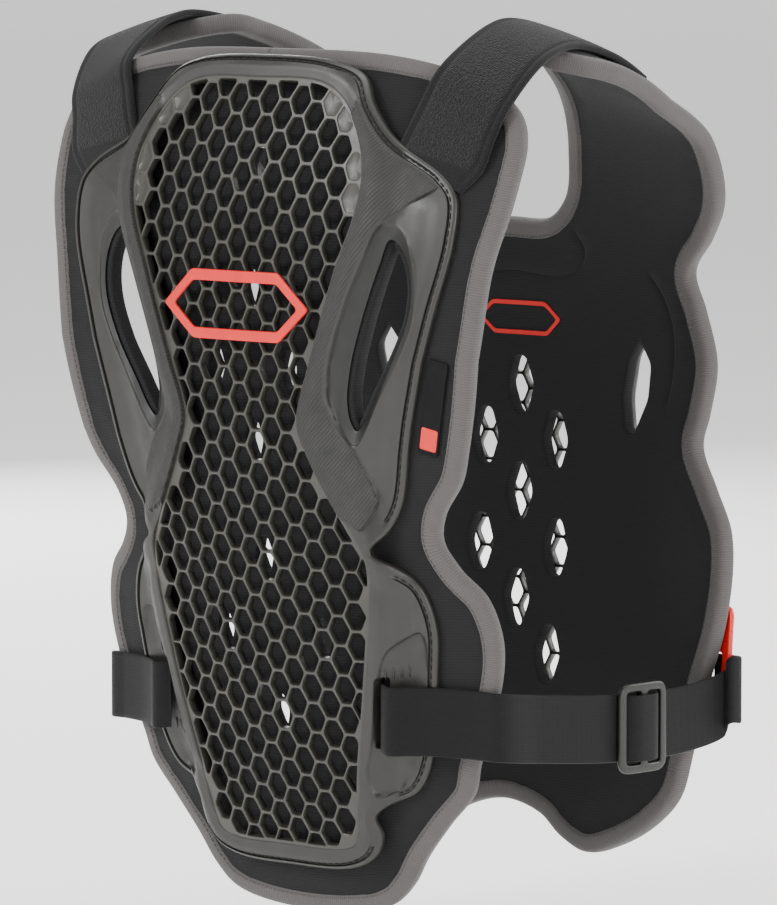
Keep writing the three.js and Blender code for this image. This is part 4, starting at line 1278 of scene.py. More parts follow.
def vent_loops(table, half_width, height, share):
    """The vents' rounded hexagons, on both sides of the centre line, at a share of full size."""
    centres = [(s * a * half_width, u * height) for a, u in table for s in ((1, -1) if a else (1,))]
    shape = [hexagon(c, VENT_WIDTH * share, VENT_HEIGHT * share) for c in centres]
    return [spaced(rounded_corners(h, 4.0 * share), 2.0, True) for h in shape]


FRONT_VENT_SHARE = 0.62  # the front vents' holes in the foam, next to those in the frame
PAD_UNDER_TAPE = 5.0  # how far the foam stays inside the panel's edge, under the tape
BACK_WINDOW_INSET = 1.5
TAPE_SEAM = 15.5  # from the panel's edge to the seam beside the tape
TAPE_SEAM_HALF = 1.6
TAPE_SEAM_DEEP = 0.5
FOAM_SEAM_HALF = 2.2
FOAM_SEAM_DEEP = 0.9
FOAM_SEAM_ROWS = (-2.4, -1.2, 0, 1.2, 2.4)
FOAM_RIM = 1.6
FOAM_SPACING = 6.0
FOAM_RINGS = (0.5, 1.2, 2.2)
SWELL_HEIGHT = 0.25
SWELL_WAVES = (23, 31)


def line_normals(line):
    """Unit vectors square to an open line."""
    along = np.gradient(line, axis=0)
    along /= np.linalg.norm(along, axis=1)[:, None]
    return np.stack([-along[:, 1], along[:, 0]], axis=1)


def beside(line, offsets):
    """Rows of points at offsets from an open line."""
    normals = line_normals(line)
    return [line + offset * normals for offset in offsets]


def foam_pad(side, seams):
    """A foam pad under knitted cloth, with its windows and vents. seams are lines sewn down."""
    face, half_width, height = PANELS[side]
    outer = LOOPS[f"{side}_edge"]
    if side == "front":
        window = inset_line(LOOPS["front_foot"], PAD_WINDOW_INSET)
        vents = vent_loops(FRONT_VENTS, half_width, height, FRONT_VENT_SHARE)
    else:
        window = inset_line(LOOPS["back_foot"], BACK_WINDOW_INSET)
        vents = vent_loops(BACK_VENTS, half_width, height, 1)
    holes = [window, mirror(window), *vents]

    def relief_at(points):
        x, y = points.T
        swell = SWELL_HEIGHT * np.sin(x / SWELL_WAVES[0] + 0.7) * np.sin(y / SWELL_WAVES[1])
        drop = np.max([edge_drop(distances(points, hole), FOAM_RIM) for hole in holes], axis=0)
        seam = TAPE_SEAM_DEEP * bump(distances(points, outer), TAPE_SEAM, TAPE_SEAM_HALF)
        for line in seams:
            sewn = FOAM_SEAM_DEEP * bump(distances(points, line, closed=False), 0, FOAM_SEAM_HALF)
            seam = np.maximum(seam, sewn)
        return swell - drop - seam

    ring = outer + TAPE_SEAM * inward_normals(outer)
    lines = [ring[distances(ring, outer) > TAPE_SEAM - 0.5]]
    for line in seams:
        lines += beside(line, FOAM_SEAM_ROWS)
    made, _ = moulded(
        f"{side}_foam",
        face.at,
        inset_line(outer, PAD_UNDER_TAPE),
        holes,
        top=lambda points: PAD + relief_at(points),
        low=lambda points: -relief_at(points),
        spacing=FOAM_SPACING,
        rings=FOAM_RINGS,
        lines=lines,
        flip=face.outward > 0,
    )
    return made


TAPE_SECTION = 18
TAPE_SQUARENESS = 0.62  # 1 is an ellipse, less is squarer
TAPE_GIRTH_STEP = 1.9
TAPE_ROW_INSET = BINDING_WIDTH - 2.4
STITCH_SUNK = 0.1


def edge_roll(side):
    """The tape rolled over a panel's edge."""
    face, _, _ = PANELS[side]
    outer = LOOPS[f"{side}_edge"]
    inner = inset_line(outer, BINDING_WIDTH)
    arc = np.concatenate([[0], np.cumsum(np.linalg.norm(np.diff(outer, axis=0), axis=1))])
    sections, places = [], []
    for k in range(TAPE_SECTION):
        angle = 2 * math.pi * k / TAPE_SECTION
        c, s = math.cos(angle), math.sin(angle)
        across = 0.5 - 0.5 * math.copysign(abs(c) ** TAPE_SQUARENESS, c)
        height = PAD / 2 + (PAD / 2 + BINDING_PROUD) * math.copysign(abs(s) ** TAPE_SQUARENESS, s)
        line = outer + (inner - outer) * across
        sections.append(face.at(*line.T, height))
        places.append(np.stack([arc, np.full(len(outer), k * TAPE_GIRTH_STEP)], axis=1))
    return swept(
        f"{side}_edge_tape", np.stack(sections, axis=1), np.stack(places, axis=1), TAPE_SMOOTH, closed=True
    )


def on_panel(face, points, height, way=1):
    """A line of places at a height over a panel's inner face, and the way out of it."""
    at = face.at(*points.T, height)
    return at, (face.at(*points.T, height + way) - at) / MM


def tape_rows(side):
    """Lines of places along the tape's inner borders, outside and inside, with the ways out."""
    face, _, _ = PANELS[side]
    row = inset_line(LOOPS[f"{side}_edge"], TAPE_ROW_INSET)
    row = np.concatenate([row, row[:1]])
    above = PAD + BINDING_PROUD - STITCH_SUNK
    return [on_panel(face, row, above), on_panel(face, row, STITCH_SUNK - BINDING_PROUD, -1)]


ARM = np.concatenate([ARM_EDGE, ARM_INNER]) * (FRONT_HALF_WIDTH, FRONT_HEIGHT)
LEDGE = np.concatenate([LEDGE_LINE, LEDGE_OUTER]) * (FRONT_HALF_WIDTH, FRONT_HEIGHT)
ARM_LOOP = spaced(ARM, 2.5, True)
LEDGE_LOOP = spaced(catmull_rom(LEDGE, True, 6), 2.0, True)
LEDGE_STEP = spaced(catmull_rom(LEDGE_LINE * (FRONT_HALF_WIDTH, FRONT_HEIGHT), False, 8), 1.6, False)
ARM_CREASE = spaced(catmull_rom(ARM_EDGE * (FRONT_HALF_WIDTH, FRONT_HEIGHT), False, 8), 2.0, False)
NOTCHES = np.array([(0.45, 0.446), (0.358, 0.141)]) * (FRONT_HALF_WIDTH, FRONT_HEIGHT)
BACK_NOTCH = np.array([(0.5, 0.285)]) * (BACK_HALF_WIDTH, BACK_HEIGHT)
NOTCH_CLEAR = 20
OPENING_LIP = 2.4  # how far the plate reaches in over the grille's border
GROOVE_HALF = 1.15
GROOVE_DEEP = 1.7
ARM_RAISED = 1.3
FOOT_RAISED = 1.0
LEDGE_DEEP = 2.2
PLATE_RINGS = (0.3, 0.8, 1.5, 2.3, 2.95, 3.3, 4.3, 5.3, 5.65, 6.4, 7.8, 9.8, 12.5)
PLATE_SPACING = 4.0
LEDGE_ROWS = (-2, -1, -0.4, 0.4, 1.2)
ARM_ROWS = (-1.2, -0.5, 0, 0.5, 1.2)
MOUTH_ROWS = (-2.4, -1.2, -0.4, 0, 0.5, 1.5, 3, 5)
STITCH_SEAT = 0.35
SHORTEST_RUN = 5  # points of the groove that a run of stitches needs


def strap_slot():
    """The slot for the waist strap in the right half of the front plate."""
    x, y = SLOT_ACROSS * FRONT_HALF_WIDTH, SLOT_UP * FRONT_HEIGHT
    corners = [
        (x + sx * SLOT_WIDTH / 2 + sy * SLOT_LEAN / 2, y + sy * SLOT_HEIGHT / 2)
        for sx, sy in ((1, 1), (-1, 1), (-1, -1), (1, -1))
    ]
    return spaced(anticlockwise(rounded_corners(np.array(corners), 2.0)), 1.5, True)


class PlateRelief:
    """Heights of a moulded plate's two faces over the panel's inner face, at flat points."""

    def __init__(self, side, groove):
        self.front = side == "front"
        parts = ("plate", "grille", "foot")
        self.edge, self.grille, self.window = (LOOPS[f"{side}_{part}"] for part in parts)
        self.opening = spaced(inset_line(self.grille, OPENING_LIP), 2.4, True)
        self.windows = [self.window, mirror(self.window)]
        self.slots = [strap_slot(), mirror(strap_slot())] if self.front else []
        self.raised = FRONT_RAISE if self.front else BACK_RAISE
        self.notches = NOTCHES if self.front else BACK_NOTCH
        self.groove = groove
        self.floor = PAD + GAP

    def base(self, points):
        """The plain outer face, which falls from the grille to the wings."""
        apart = distances(points, self.grille) * ~inside(points, self.grille)
        return self.floor + RIM + self.raised * (1 - smoothstep(apart, 2, PLATE_FLANK))

    def groove_share(self, points):
        """1 where the groove runs, and 0 at the notches that it stops short of."""
        apart = [np.hypot(np.abs(points[:, 0]) - n[0], points[:, 1] - n[1]) for n in self.notches]
        return smoothstep(np.min(apart, axis=0), NOTCH_CLEAR - 3, NOTCH_CLEAR)

    def arm_share(self, points):
        """1 on the textured arms."""
        return smoothstep(signed(folded(points), ARM_LOOP), -0.5, 0.5)

    def wall_shade_share(self, points):
        """1 on each wall of the front's windows, which the plate's material darkens as painted shade."""
        if not self.front:
            return np.zeros(len(points))
        return smoothstep(np.maximum(signed(folded(points), LOOPS["front_mouth"]), 0), 0.1, 1.2)

    def ribbed_share(self, points):
        """1 where the arms are ribbed, away from the edge and the windows."""
        if not self.front:
            return np.zeros(len(points))
        outside = signed(folded(points), LOOPS["front_mouth"]) < -1.6
        return self.arm_share(points) * outside * smoothstep(distances(points, self.edge), 6, 8)

    def top(self, points):
        """The outer face."""
        rim = distances(points, self.edge)
        near_window = np.min([distances(points, window) for window in self.windows], axis=0)
        height = self.base(points) + 0.7 * smoothstep(rim, 0, 2) - 0.3 * smoothstep(rim, 5.5, 7)
        height -= GROOVE_DEEP * trough(rim, self.groove, GROOVE_HALF) * self.groove_share(points)
        height -= edge_drop(rim, 1.1) + edge_drop(distances(points, self.opening), 0.8)
        if not self.front:
            return height + 0.9 * bump(near_window, 2.4, 2.2) - edge_drop(near_window, 1.8)
        arm = self.arm_share(points)
        height += ARM_RAISED * arm * smoothstep(rim, self.groove + 1, self.groove + 4)
        height -= 1.2 * bump(rim, 16, 10) * (1 - arm)
        from_step = distances(folded(points), LEDGE_STEP, closed=False)
        hollow = smoothstep(signed(folded(points), LEDGE_LOOP), -0.3, 1.1)
        height -= LEDGE_DEEP * hollow * (1 - smoothstep(from_step, 6, 26))
        for slot in self.slots:
            height -= edge_drop(distances(points, slot), 1.0)
        within = signed(folded(points), LOOPS["front_mouth"])
        height += 0.45 * bump(within, -1.1, 1.1) - edge_drop(np.maximum(-within, 0), 0.5)
        fall = np.maximum(within, 0) / np.maximum(np.maximum(within, 0) + near_window, 1e-6)
        return height + (self.floor + FOOT_RAISED - height) * fall

    def low(self, points):
        """The inner face, which stands on the foam round the windows and slots."""
        deep = np.min([distances(points, hole) for hole in self.windows + self.slots], axis=0)
        under = np.maximum(self.floor, self.base(points) - PLATE_WALL)
        start = 12 if self.front else 2.5
        return self.floor + (under - self.floor) * smoothstep(deep, start, start + 4)

    def rows(self):
        """Lines along the front's steps and creases, which need rows of vertices."""
        if not self.front:
            return []
        mouth = LOOPS["front_mouth"]
        around = [mouth + offset * inward_normals(mouth) for offset in MOUTH_ROWS]
        right = beside(LEDGE_STEP, LEDGE_ROWS) + beside(ARM_CREASE, ARM_ROWS)
        right += [line[~inside(line, self.window)] for line in around]
        return [way for line in right for way in (line, line * (-1, 1))]


def folded(points):
    """The points with those of the left half moved to the right."""
    return np.stack([np.abs(points[:, 0]), points[:, 1]], axis=1)


def plate(side, shape):
    """A moulded plate with a raised rim, a stitched groove, windows and a wall down to the foam."""
    face, _, _ = PANELS[side]
    made, flat = moulded(
        f"{side}_shell",
        face.at,
        shape.edge,
        [shape.opening, *shape.windows, *shape.slots],
        top=shape.top,
        low=shape.low,
        spacing=PLATE_SPACING,
        rings=PLATE_RINGS,
        lines=shape.rows(),
        flip=face.outward > 0,
    )
    # The wall share marks where the plate's material paints shade on each window's wall.
    for name, share in (("ribbed", shape.ribbed_share(flat)), ("wall", shape.wall_shade_share(flat))):
        set_share(made, name, np.concatenate([share, share]))
    return made


def groove_runs(side, shape):
    """Lines of places along the plate's groove, with the ways out, for its stitches."""
    face, _, _ = PANELS[side]
    row = spaced(inset_line(shape.edge, shape.groove), 2.0, True)
    stays = (shape.groove_share(row) > 0.9) & (distances(row, shape.edge) > shape.groove - 0.6)
    start = int(np.argmin(stays)) if not stays.all() else 0
    row, stays = np.roll(row, -start, 0), np.roll(stays, -start)
    breaks = np.flatnonzero(np.diff(stays)) + 1
    runs = [run for run, keep in zip(np.split(row, breaks), np.split(stays, breaks)) if keep[0]]
    return [on_panel(face, run, shape.top(run) + STITCH_SEAT) for run in runs if len(run) >= SHORTEST_RUN]


RIB_FROM_SLOT = (2, 14)  # from the slot's end to the first rib and past the last
RIB_PAST_STRAP = 2.6
RIB_SEAT = 0.1
RIB_SIZE = (1.5 * MM, 7.5 * MM, 1.6 * MM)
SLOT_RIB_PITCH = 4.2 * MM


def slot_rib_rows(shape):
    """Lines of places beside both ends of each strap slot, with the ways out, for its short ribs."""
    rows = []
    for sign in SIDES.values():
        for end in (1, -1):
            across = SLOT_ACROSS * FRONT_HALF_WIDTH + end * SLOT_LEAN / 2 + np.linspace(*RIB_FROM_SLOT, 9)
            up = SLOT_UP * FRONT_HEIGHT + end * (SLOT_HEIGHT / 2 + RIB_PAST_STRAP)
            points = np.stack([sign * across, np.full(len(across), up)], axis=1)
            rows.append(on_panel(FRONT, points, shape.top(points) + RIB_SEAT))
    return rows


# Straps


def unit(vectors):
    """Vectors made one long."""
    return vectors / np.linalg.norm(vectors, axis=-1, keepdims=True)


STRAP_SEAM_HALF = 1.4
STRAP_ROUND = 0.45  # share of its thickness by which a strap's edges are rounded
PILE_SLANT = 16  # how much later the pile starts at a strap's one edge than at its other
SHOULDER_PARTS = 150
WAIST_PARTS = 220


def strap_mesh(name, near, far, thickness, side, crown=0.0, columns=16, border=0.0, groove=0.0):
    """A strap between two edge lines of places in metres. Its outer face crowns, and a sewn groove
    runs border inside each edge, with a pile between the grooves."""
    along = unit(np.gradient((near + far) / 2, axis=0))
    across = far - near
    width = np.linalg.norm(across, axis=1, keepdims=True)
    out = unit(np.cross(across, along)) * side
    share = 0.5 - 0.5 * np.cos(np.linspace(0, math.pi, columns + 1))
    outer = [(s, 1) for s in share]
    inner = [(s, 0) for s in share[::-1]]
    arc = np.concatenate([[0], np.cumsum(np.linalg.norm(np.diff((near + far) / 2, axis=0), axis=1))])
    sections, places, piles = [], [], []
    for s, is_outer in outer + inner:
        from_edge = np.minimum(s, 1 - s) * width[:, 0]
        round_off = edge_drop(from_edge / MM, thickness * STRAP_ROUND) * MM
        if is_outer:
            height = (thickness + crown * 4 * s * (1 - s)) * MM - round_off
            if border:
                height -= groove * MM * bump(from_edge / MM, border, STRAP_SEAM_HALF)
        else:
            height = round_off
        sections.append(near + across * s + out * height[:, None])
        places.append(np.stack([arc / MM, s * width[:, 0] / MM], axis=1))
        begun = smoothstep(arc / MM, PILE_SLANT * s, PILE_SLANT * s + 1.5)
        napped = smoothstep(from_edge / MM, border, border + 1.0) * begun
        piles.append(napped * is_outer if border else np.zeros(len(near)))
    made = swept(name, np.stack(sections, axis=1), np.stack(places, axis=1), STRAP_SMOOTH)
    set_share(made, "pile", np.stack(piles, axis=1).ravel())
    return made


def shoulder_lines(side):
    """The two edges of a shoulder strap, as lines of places."""
    rows = {"near": [], "far": []}
    for panel, in_across, in_up, out_across, out_up, height in SHOULDER_PATH:
        face, half_width, tall = PANELS[panel]
        rows["near"].append(face.at(side * in_across * half_width, in_up * tall, height * PAD))
        rows["far"].append(face.at(side * out_across * half_width, out_up * tall, height * PAD))
    return [resampled(catmull_rom(np.array(row), False, SPAN_STEPS), SHOULDER_PARTS) for row in rows.values()]


def resampled(line, count):
    """An open line with count even parts."""
    arc = np.concatenate([[0], np.cumsum(np.linalg.norm(np.diff(line, axis=0), axis=1))])
    at = np.linspace(0, arc[-1], count + 1)
    return np.stack([np.interp(at, arc, line[:, k]) for k in range(line.shape[1])], axis=1)


def waist_line(side):
    """The middle line of a waist strap, as places in metres."""
    rows = [
        FRONT.at(side * a * FRONT_HALF_WIDTH, FRONT.up_to(WAIST_Z) - drop * WAIST_STRAP, h * PAD)
        for a, h, drop in WAIST_FRONT
    ]
    for out, back, drop in WAIST_OPEN:
        y = BACK_CENTRE_Y - CHEST_DEPTH * (1 - back)
        rows.append(MM * np.array([side * out * BACK_HALF_WIDTH, y, WAIST_Z - drop * WAIST_STRAP]))
    rows += [BACK.at(side * a * BACK_HALF_WIDTH, BACK.up_to(WAIST_Z), h * PAD) for a, h in WAIST_BACK]
    return resampled(catmull_rom(np.array(rows), False, SPAN_STEPS), WAIST_PARTS)


# Fittings

SLIDER_LENGTH = 40
SLIDER_BAR = 5.5
SLIDER_THICK = 3.2
SLIDER_SEAT = 0.35
HOOK_WIDTH = 34
HOOK_TAB = 22
HOOK_THICK = 4
HOOK_BAR = 6
HOOK_ACROSS = 0.82
BADGE_WIDTH = 108
BADGE_HEIGHT = 40
BADGE_BAND = 6.5
BADGE_THICK = 1.6
BADGE_ROUND = 0.9
BADGE_UP = 0.71 * FRONT_HEIGHT
HEXAGON_POINT = 0.55  # length of a long hexagon's points as a share of its height
HEXAGON_CORNER = 1.6
FITTING_ROUND = 0.42  # share of its thickness by which a fitting's outer rims are rounded
FITTING_SPACING = 2.0
SLIDER_BOW = 0.8
SLIDER_CORNER = 9
SLIDER_SLOT_CORNER = 1.6
TURN_RISE = 3.0
TURN_START = -1.2
HOOK_BOW = 0.6
HOOK_CORNER = 7
HOOK_WINDOW_CORNER = 2.5
LABEL_CORNER = 1.2
LABEL_ROUND = 0.3
LABEL_SUNK = 0.15
LABEL_WIDTH = 13
LABEL_HEIGHT = 56
LABEL_THICK = 1
LABEL_ACROSS = 0.7115
LABEL_UP = 0.607
LABEL_LEAN = 13


def rectangle(width, height, corner, centre=(0, 0)):
    """A rectangle with round corners."""
    x, y = width / 2, height / 2
    loop = np.array([(x, -y), (x, y), (-x, y), (-x, -y)]) + centre
    return spaced(rounded_corners(loop, corner, 6), 1.2, True)


def flat_fitting(name, outline, holes, thickness, origin, along, out, bow):
    """A moulded fitting with rounded rims, stood at a place with its face outwards."""
    up = np.cross(out, along)
    radius = thickness * FITTING_ROUND

    def place(u, v, h):
        u, v, h = np.broadcast_arrays(u, v, h)
        return origin + MM * (u[..., None] * along + v[..., None] * up + h[..., None] * out)

    def rim(points):
        return np.min([distances(points, loop) for loop in [outline, *holes]], axis=0)

    def top(points):
        bowed = bow * (1 - (points[:, 0] / outline[:, 0].max()) ** 2)
        return thickness + bowed - edge_drop(rim(points), radius)

    made, _ = moulded(
        name,
        place,
        outline,
        holes,
        top=top,
        low=lambda points: edge_drop(rim(points), radius * 0.6),
        spacing=FITTING_SPACING,
        rings=(0.15 * radius, 0.5 * radius, radius),
    )
    return made


def slider_buckle(name, side):
    """A slider with two slots, and the strap's turn over its middle bar."""
    line = waist_line(side)
    k = round(BUCKLE_PLACE * (len(line) - 1))
    along = line[k + 1] - line[k - 1]
    along[2] = 0
    along = unit(along) * side
    out = np.cross(along, (0, 0, 1))
    origin = line[k] + out * (WAIST_STRAP_THICK + SLIDER_SEAT) * MM
    slot = (SLIDER_LENGTH - 3 * SLIDER_BAR) / 2
    offset = (slot + SLIDER_BAR) / 2
    holes = [rectangle(slot, SLOT_HEIGHT, SLIDER_SLOT_CORNER, (sign * offset, 0)) for sign in (1, -1)]
    outline = rectangle(SLIDER_LENGTH, SLOT_HEIGHT + 2 * SLIDER_BAR, SLIDER_CORNER)
    made = flat_fitting(name, outline, holes, SLIDER_THICK, origin, along, out, SLIDER_BOW)
    reach = SLIDER_BAR / 2 + slot * 0.93
    across = np.linspace(-reach, reach, 33)
    rise = TURN_START + (SLIDER_THICK + TURN_RISE) * (1 - np.abs(across / reach) ** 3.2)
    middle = origin + MM * (across[:, None] * along + rise[:, None] * out)
    up = np.array([0, 0, 1.0]) * MM * (WAIST_STRAP / 2 - 0.5)
    turn = strap_mesh(name.replace("slider", "strap_turn"), middle - up, middle + up, WAIST_STRAP_THICK, -1)
    return made, turn


def hook_clip(name, side):
    """A hook clip with its strap window and finger tab."""
    u, v = side * HOOK_ACROSS * BACK_HALF_WIDTH, BACK.up_to(WAIST_Z)
    origin = BACK.at(u, v, PAD + BINDING_PROUD + GAP)
    ahead = BACK.at(u - side * HOOK_WIDTH / 2, v, 0) - BACK.at(u + side * HOOK_WIDTH / 2, v, 0)
    along = unit(ahead) * side
    up = unit(BACK.at(u, v + HOOK_TAB, 0) - BACK.at(u, v - HOOK_TAB, 0))
    out = unit(np.cross(along, up))
    tall = SLOT_HEIGHT + 2 * HOOK_BAR + HOOK_TAB
    outline = rectangle(HOOK_WIDTH, tall, HOOK_CORNER, (0, HOOK_TAB / 2))
    window = rectangle(HOOK_WIDTH - 2 * HOOK_BAR, SLOT_HEIGHT, HOOK_WINDOW_CORNER)
    return flat_fitting(name, outline, [window], HOOK_THICK, origin, along, out, HOOK_BOW)


def long_hexagon(width, height, centre):
    """A hexagon with a point at each side and straight top and bottom edges."""
    corner = height * HEXAGON_POINT
    x, y = width / 2, height / 2
    loop = [(x, 0), (x - corner, y), (-x + corner, y), (-x, 0), (-x + corner, -y), (x - corner, -y)]
    return spaced(anticlockwise(rounded_corners(np.array(loop), HEXAGON_CORNER)), 1.6, True) + centre


def ring_loops(width, height, band, centre):
    """The outer and inner loop of a long hexagonal ring."""
    return [long_hexagon(width, height, centre), long_hexagon(width - 2.4 * band, height - 2 * band, centre)]


def badge():
    """A plain hexagonal ring on the chest grille."""
    outer, inner = ring_loops(BADGE_WIDTH, BADGE_HEIGHT, BADGE_BAND, (0, BADGE_UP))
    base = PAD + GAP + RIM + FRONT_RAISE + GAP

    def top(points):
        rim = np.minimum(distances(points, outer), distances(points, inner))
        return base + BADGE_THICK - edge_drop(rim, BADGE_ROUND)

    made, _ = moulded(
        "badge_ring",
        FRONT.at,
        outer,
        [inner],
        top=top,
        low=lambda points: np.full(len(points), base),
        spacing=2.0,
        rings=(0.15, 0.5, BADGE_ROUND),
    )
    return made


PRINT_WIDTH = 64
PRINT_HEIGHT = 21
PRINT_BAND = 2.6
PRINT_CENTRE = (0.013 * BACK_HALF_WIDTH, 0.4995 * BACK_HEIGHT)
PRINT_PROUD = 0.5


def inner_print():
    """A plain ring printed on the inner cloth of the back pad."""
    outer, inner = ring_loops(PRINT_WIDTH, PRINT_HEIGHT, PRINT_BAND, PRINT_CENTRE)
    made, _ = moulded(
        "inner_print",
        BACK.at,
        outer,
        [inner],
        top=lambda points: np.full(len(points), PRINT_PROUD),
        low=lambda points: np.full(len(points), -PRINT_PROUD),
        spacing=2.5,
        flip=True,
    )
    return made


def side_tag(name, share_low, share_high, lift, thickness, trim=0.0):
    """A stretch of the side tag, between two shares of its height."""
    tall = LABEL_HEIGHT * (share_high - share_low) - 2 * trim
    centre = (0, LABEL_HEIGHT * ((share_low + share_high) / 2 - 0.5))
    loop = rectangle(LABEL_WIDTH - 2 * trim, tall, LABEL_CORNER, centre)
    lean = math.radians(-LABEL_LEAN)
    turn = np.array([[math.cos(lean), math.sin(lean)], [-math.sin(lean), math.cos(lean)]])
    loop = loop @ turn + (LABEL_ACROSS * FRONT_HALF_WIDTH, LABEL_UP * FRONT_HEIGHT)
    base = PAD + GAP + lift
    made, _ = moulded(
        name,
        FRONT.at,
        loop,
        top=lambda points: base + thickness - edge_drop(distances(points, loop), LABEL_ROUND),
        low=lambda points: np.full(len(points), base - LABEL_SUNK),
        spacing=2.5,
        rings=(LABEL_ROUND,),
    )
    return made


# Operators


def settings():
    """The scene's sizes and colours."""
    return bpy.context.scene.protector_sizes, bpy.context.scene.protector_colours


BLACK_THREAD = "#0d0d0e"
# Length, width and rise of a stitch
TAPE_STITCH_SIZE = (2.5 * MM, 0.7 * MM, 0.5 * MM)
GROOVE_STITCH_SIZE = (3.6 * MM, 1.0 * MM, 0.8 * MM)
MATERIALS = {}


def finish_of(name):
    """A material by its short name, made once."""
    if name not in MATERIALS:
        _, colours = settings()
        makers = {
            "cloth": lambda: knitted_cloth(colours),
            "tape": lambda: edge_tape(colours),
            "plate": lambda: moulded_plastic("moulded_polyurethane_plate", colours.plate, True, 0.42),
            # The grille's lighter colour is a painted highlight for the lit rims of the web.
            "grille": lambda: moulded_plastic("moulded_polyurethane_grille_painted_highlight", colours.grille, False, 0.38),
            "pile": lambda: loop_pile(colours),
            "elastic": lambda: woven_elastic(colours),
            "slider": lambda: hard_plastic("moulded_acetal", colours.fitting, 0.38),
            "clip": lambda: hard_plastic("moulded_nylon_red", colours.clip, 0.3, 0.2),
            "badge": lambda: hard_plastic("moulded_polyurethane_red", colours.badge, 0.45),
            "print": lambda: hard_plastic("rubber_print_red", colours.badge, 0.7),
            "label": lambda: hard_plastic("woven_satin_label", colours.label, 0.75, specular=0.2),
            "black_thread": lambda: sewing_thread("polyester_thread_black", from_hex(BLACK_THREAD)),
            "grey_thread": lambda: sewing_thread("polyester_thread_grey", tone(colours.tape, 0.62)),
        }
        MATERIALS[name] = makers[name]()
    return MATERIALS[name]


# Seams on the inner side of the back pad: below the neck, and beside the right window
NECK_SEAM = np.array([
    (-0.28, 0.585), (-0.31, 0.568), (-0.27, 0.549), (-0.19, 0.541), (0, 0.545), (0.19, 0.541),
    (0.27, 0.549), (0.31, 0.568), (0.28, 0.585),
])
SIDE_SEAM = np.array([(0.6, 0.548), (0.645, 0.53), (0.678, 0.5), (0.672, 0.465), (0.64, 0.43)])


class PROTECTOR_OT_foam(bpy.types.Operator):
    """Builds the two foam panels under their knitted cloth"""

    bl_idname = "protector.foam"
    bl_label = "Foam panels"

    def execute(self, context):
        tables = [NECK_SEAM, SIDE_SEAM, SIDE_SEAM * (-1, 1)]
        seams = [
            spaced(catmull_rom(table * (BACK_HALF_WIDTH, BACK_HEIGHT), False, 10), 2.0, False)
            for table in tables
        ]
        for side, lines in (("front", []), ("back", seams)):
            made = foam_pad(side, lines)
            dress(made, finish_of("cloth"), [f"{side}_pad"])
        return {"FINISHED"}


class PROTECTOR_OT_tape(bpy.types.Operator):
    """Builds the rolled edge tape of both panels with its stitches"""

    bl_idname = "protector.tape"
    bl_label = "Edge tape"

    def execute(self, context):
        sizes, _ = settings()
        tree = stitch_tree()
        for side in PANELS:
            roll = edge_roll(side)
            dress(roll, finish_of("tape"), [f"{side}_binding"])
            thread = finish_of("grey_thread")
            name = f"{side}_tape_stitches"
            made = stitch_run(name, tree, tape_rows(side), sizes.tape_stitch, TAPE_STITCH_SIZE, thread)
            dress(made, thread)
        return {"FINISHED"}


class PROTECTOR_OT_plates(bpy.types.Operator):
    """Builds the moulded plates with their rims, windows, slots and stitched grooves"""

    bl_idname = "protector.plates"
    bl_label = "Moulded plates"

    def execute(self, context):
        sizes, _ = settings()
        tree = stitch_tree()
        for side in PANELS:
            shape = PlateRelief(side, sizes.groove_inset / MM)
            dress(plate(side, shape), finish_of("plate"), [f"{side}_plate"])
            thread = finish_of("black_thread")
            name = f"{side}_groove_stitches"
            runs = groove_runs(side, shape)
            made = stitch_run(name, tree, runs, sizes.plate_stitch, GROOVE_STITCH_SIZE, thread)
            dress(made, thread)
            if side == "front":
                ribs = slot_rib_rows(shape)
                made = stitch_run("slot_ribs", tree, ribs, SLOT_RIB_PITCH, RIB_SIZE, finish_of("plate"))
                dress(made, finish_of("plate"))
        return {"FINISHED"}


BLIND_FROM = 0.8  # share of the front's height from which the outermost cells are blind
BLIND_REACH = 14


class PROTECTOR_OT_grilles(bpy.types.Operator):
    """Builds the fine honeycomb of both plates"""

    bl_idname = "protector.grilles"
    bl_label = "Honeycomb grilles"

    def execute(self, context):
        sizes, _ = settings()
        tree = honeycomb_tree()
        raises = {"front": FRONT_RAISE, "back": BACK_RAISE}
        for side, (face, half_width, height) in PANELS.items():
            outline = inset_line(LOOPS[f"{side}_grille"], OPENING_LIP - 1.2)
            field = LOOPS[f"{side}_grille"]
            reach = BLIND_FROM * height if side == "front" else field[:, 1].max() - 0.06 * height

            def blind(p):
                corner = p[1] > reach and abs(p[0]) > 0.27 * half_width
                return corner and distances(p[None], field)[0] < BLIND_REACH

            top = PAD + GAP + RIM + raises[side] - 1.0
            made = honeycomb(f"{side}_honeycomb", tree, face, outline, top, sizes, blind, finish_of("grille"))
            dress(made, finish_of("grille"), [f"{side}_grille"])
        return {"FINISHED"}


class PROTECTOR_OT_shoulder_straps(bpy.types.Operator):
    """Builds the two shoulder straps of loop fabric"""

    bl_idname = "protector.shoulder_straps"
    bl_label = "Shoulder straps"

    def execute(self, context):
        for label, side in SIDES.items():
            near, far = shoulder_lines(side)
            made = strap_mesh(
                f"shoulder_loop_{label}", near, far, SHOULDER_STRAP_THICK, side,
                crown=0.8, columns=26, border=5.0, groove=0.8,
            )
            dress(made, finish_of("pile"), [f"shoulder_strap_{label}"])
        return {"FINISHED"}


class PROTECTOR_OT_waist_straps(bpy.types.Operator):
    """Builds the two elastic waist straps"""

    bl_idname = "protector.waist_straps"
    bl_label = "Waist straps"

    def execute(self, context):
        for label, side in SIDES.items():
            line = waist_line(side)
            up = np.array([0, 0, WAIST_STRAP / 2]) * MM
            name = f"waist_elastic_{label}"
            made = strap_mesh(name, line - up, line + up, WAIST_STRAP_THICK, -side, columns=12)
            dress(made, finish_of("elastic"), [f"waist_strap_{label}"])
        return {"FINISHED"}


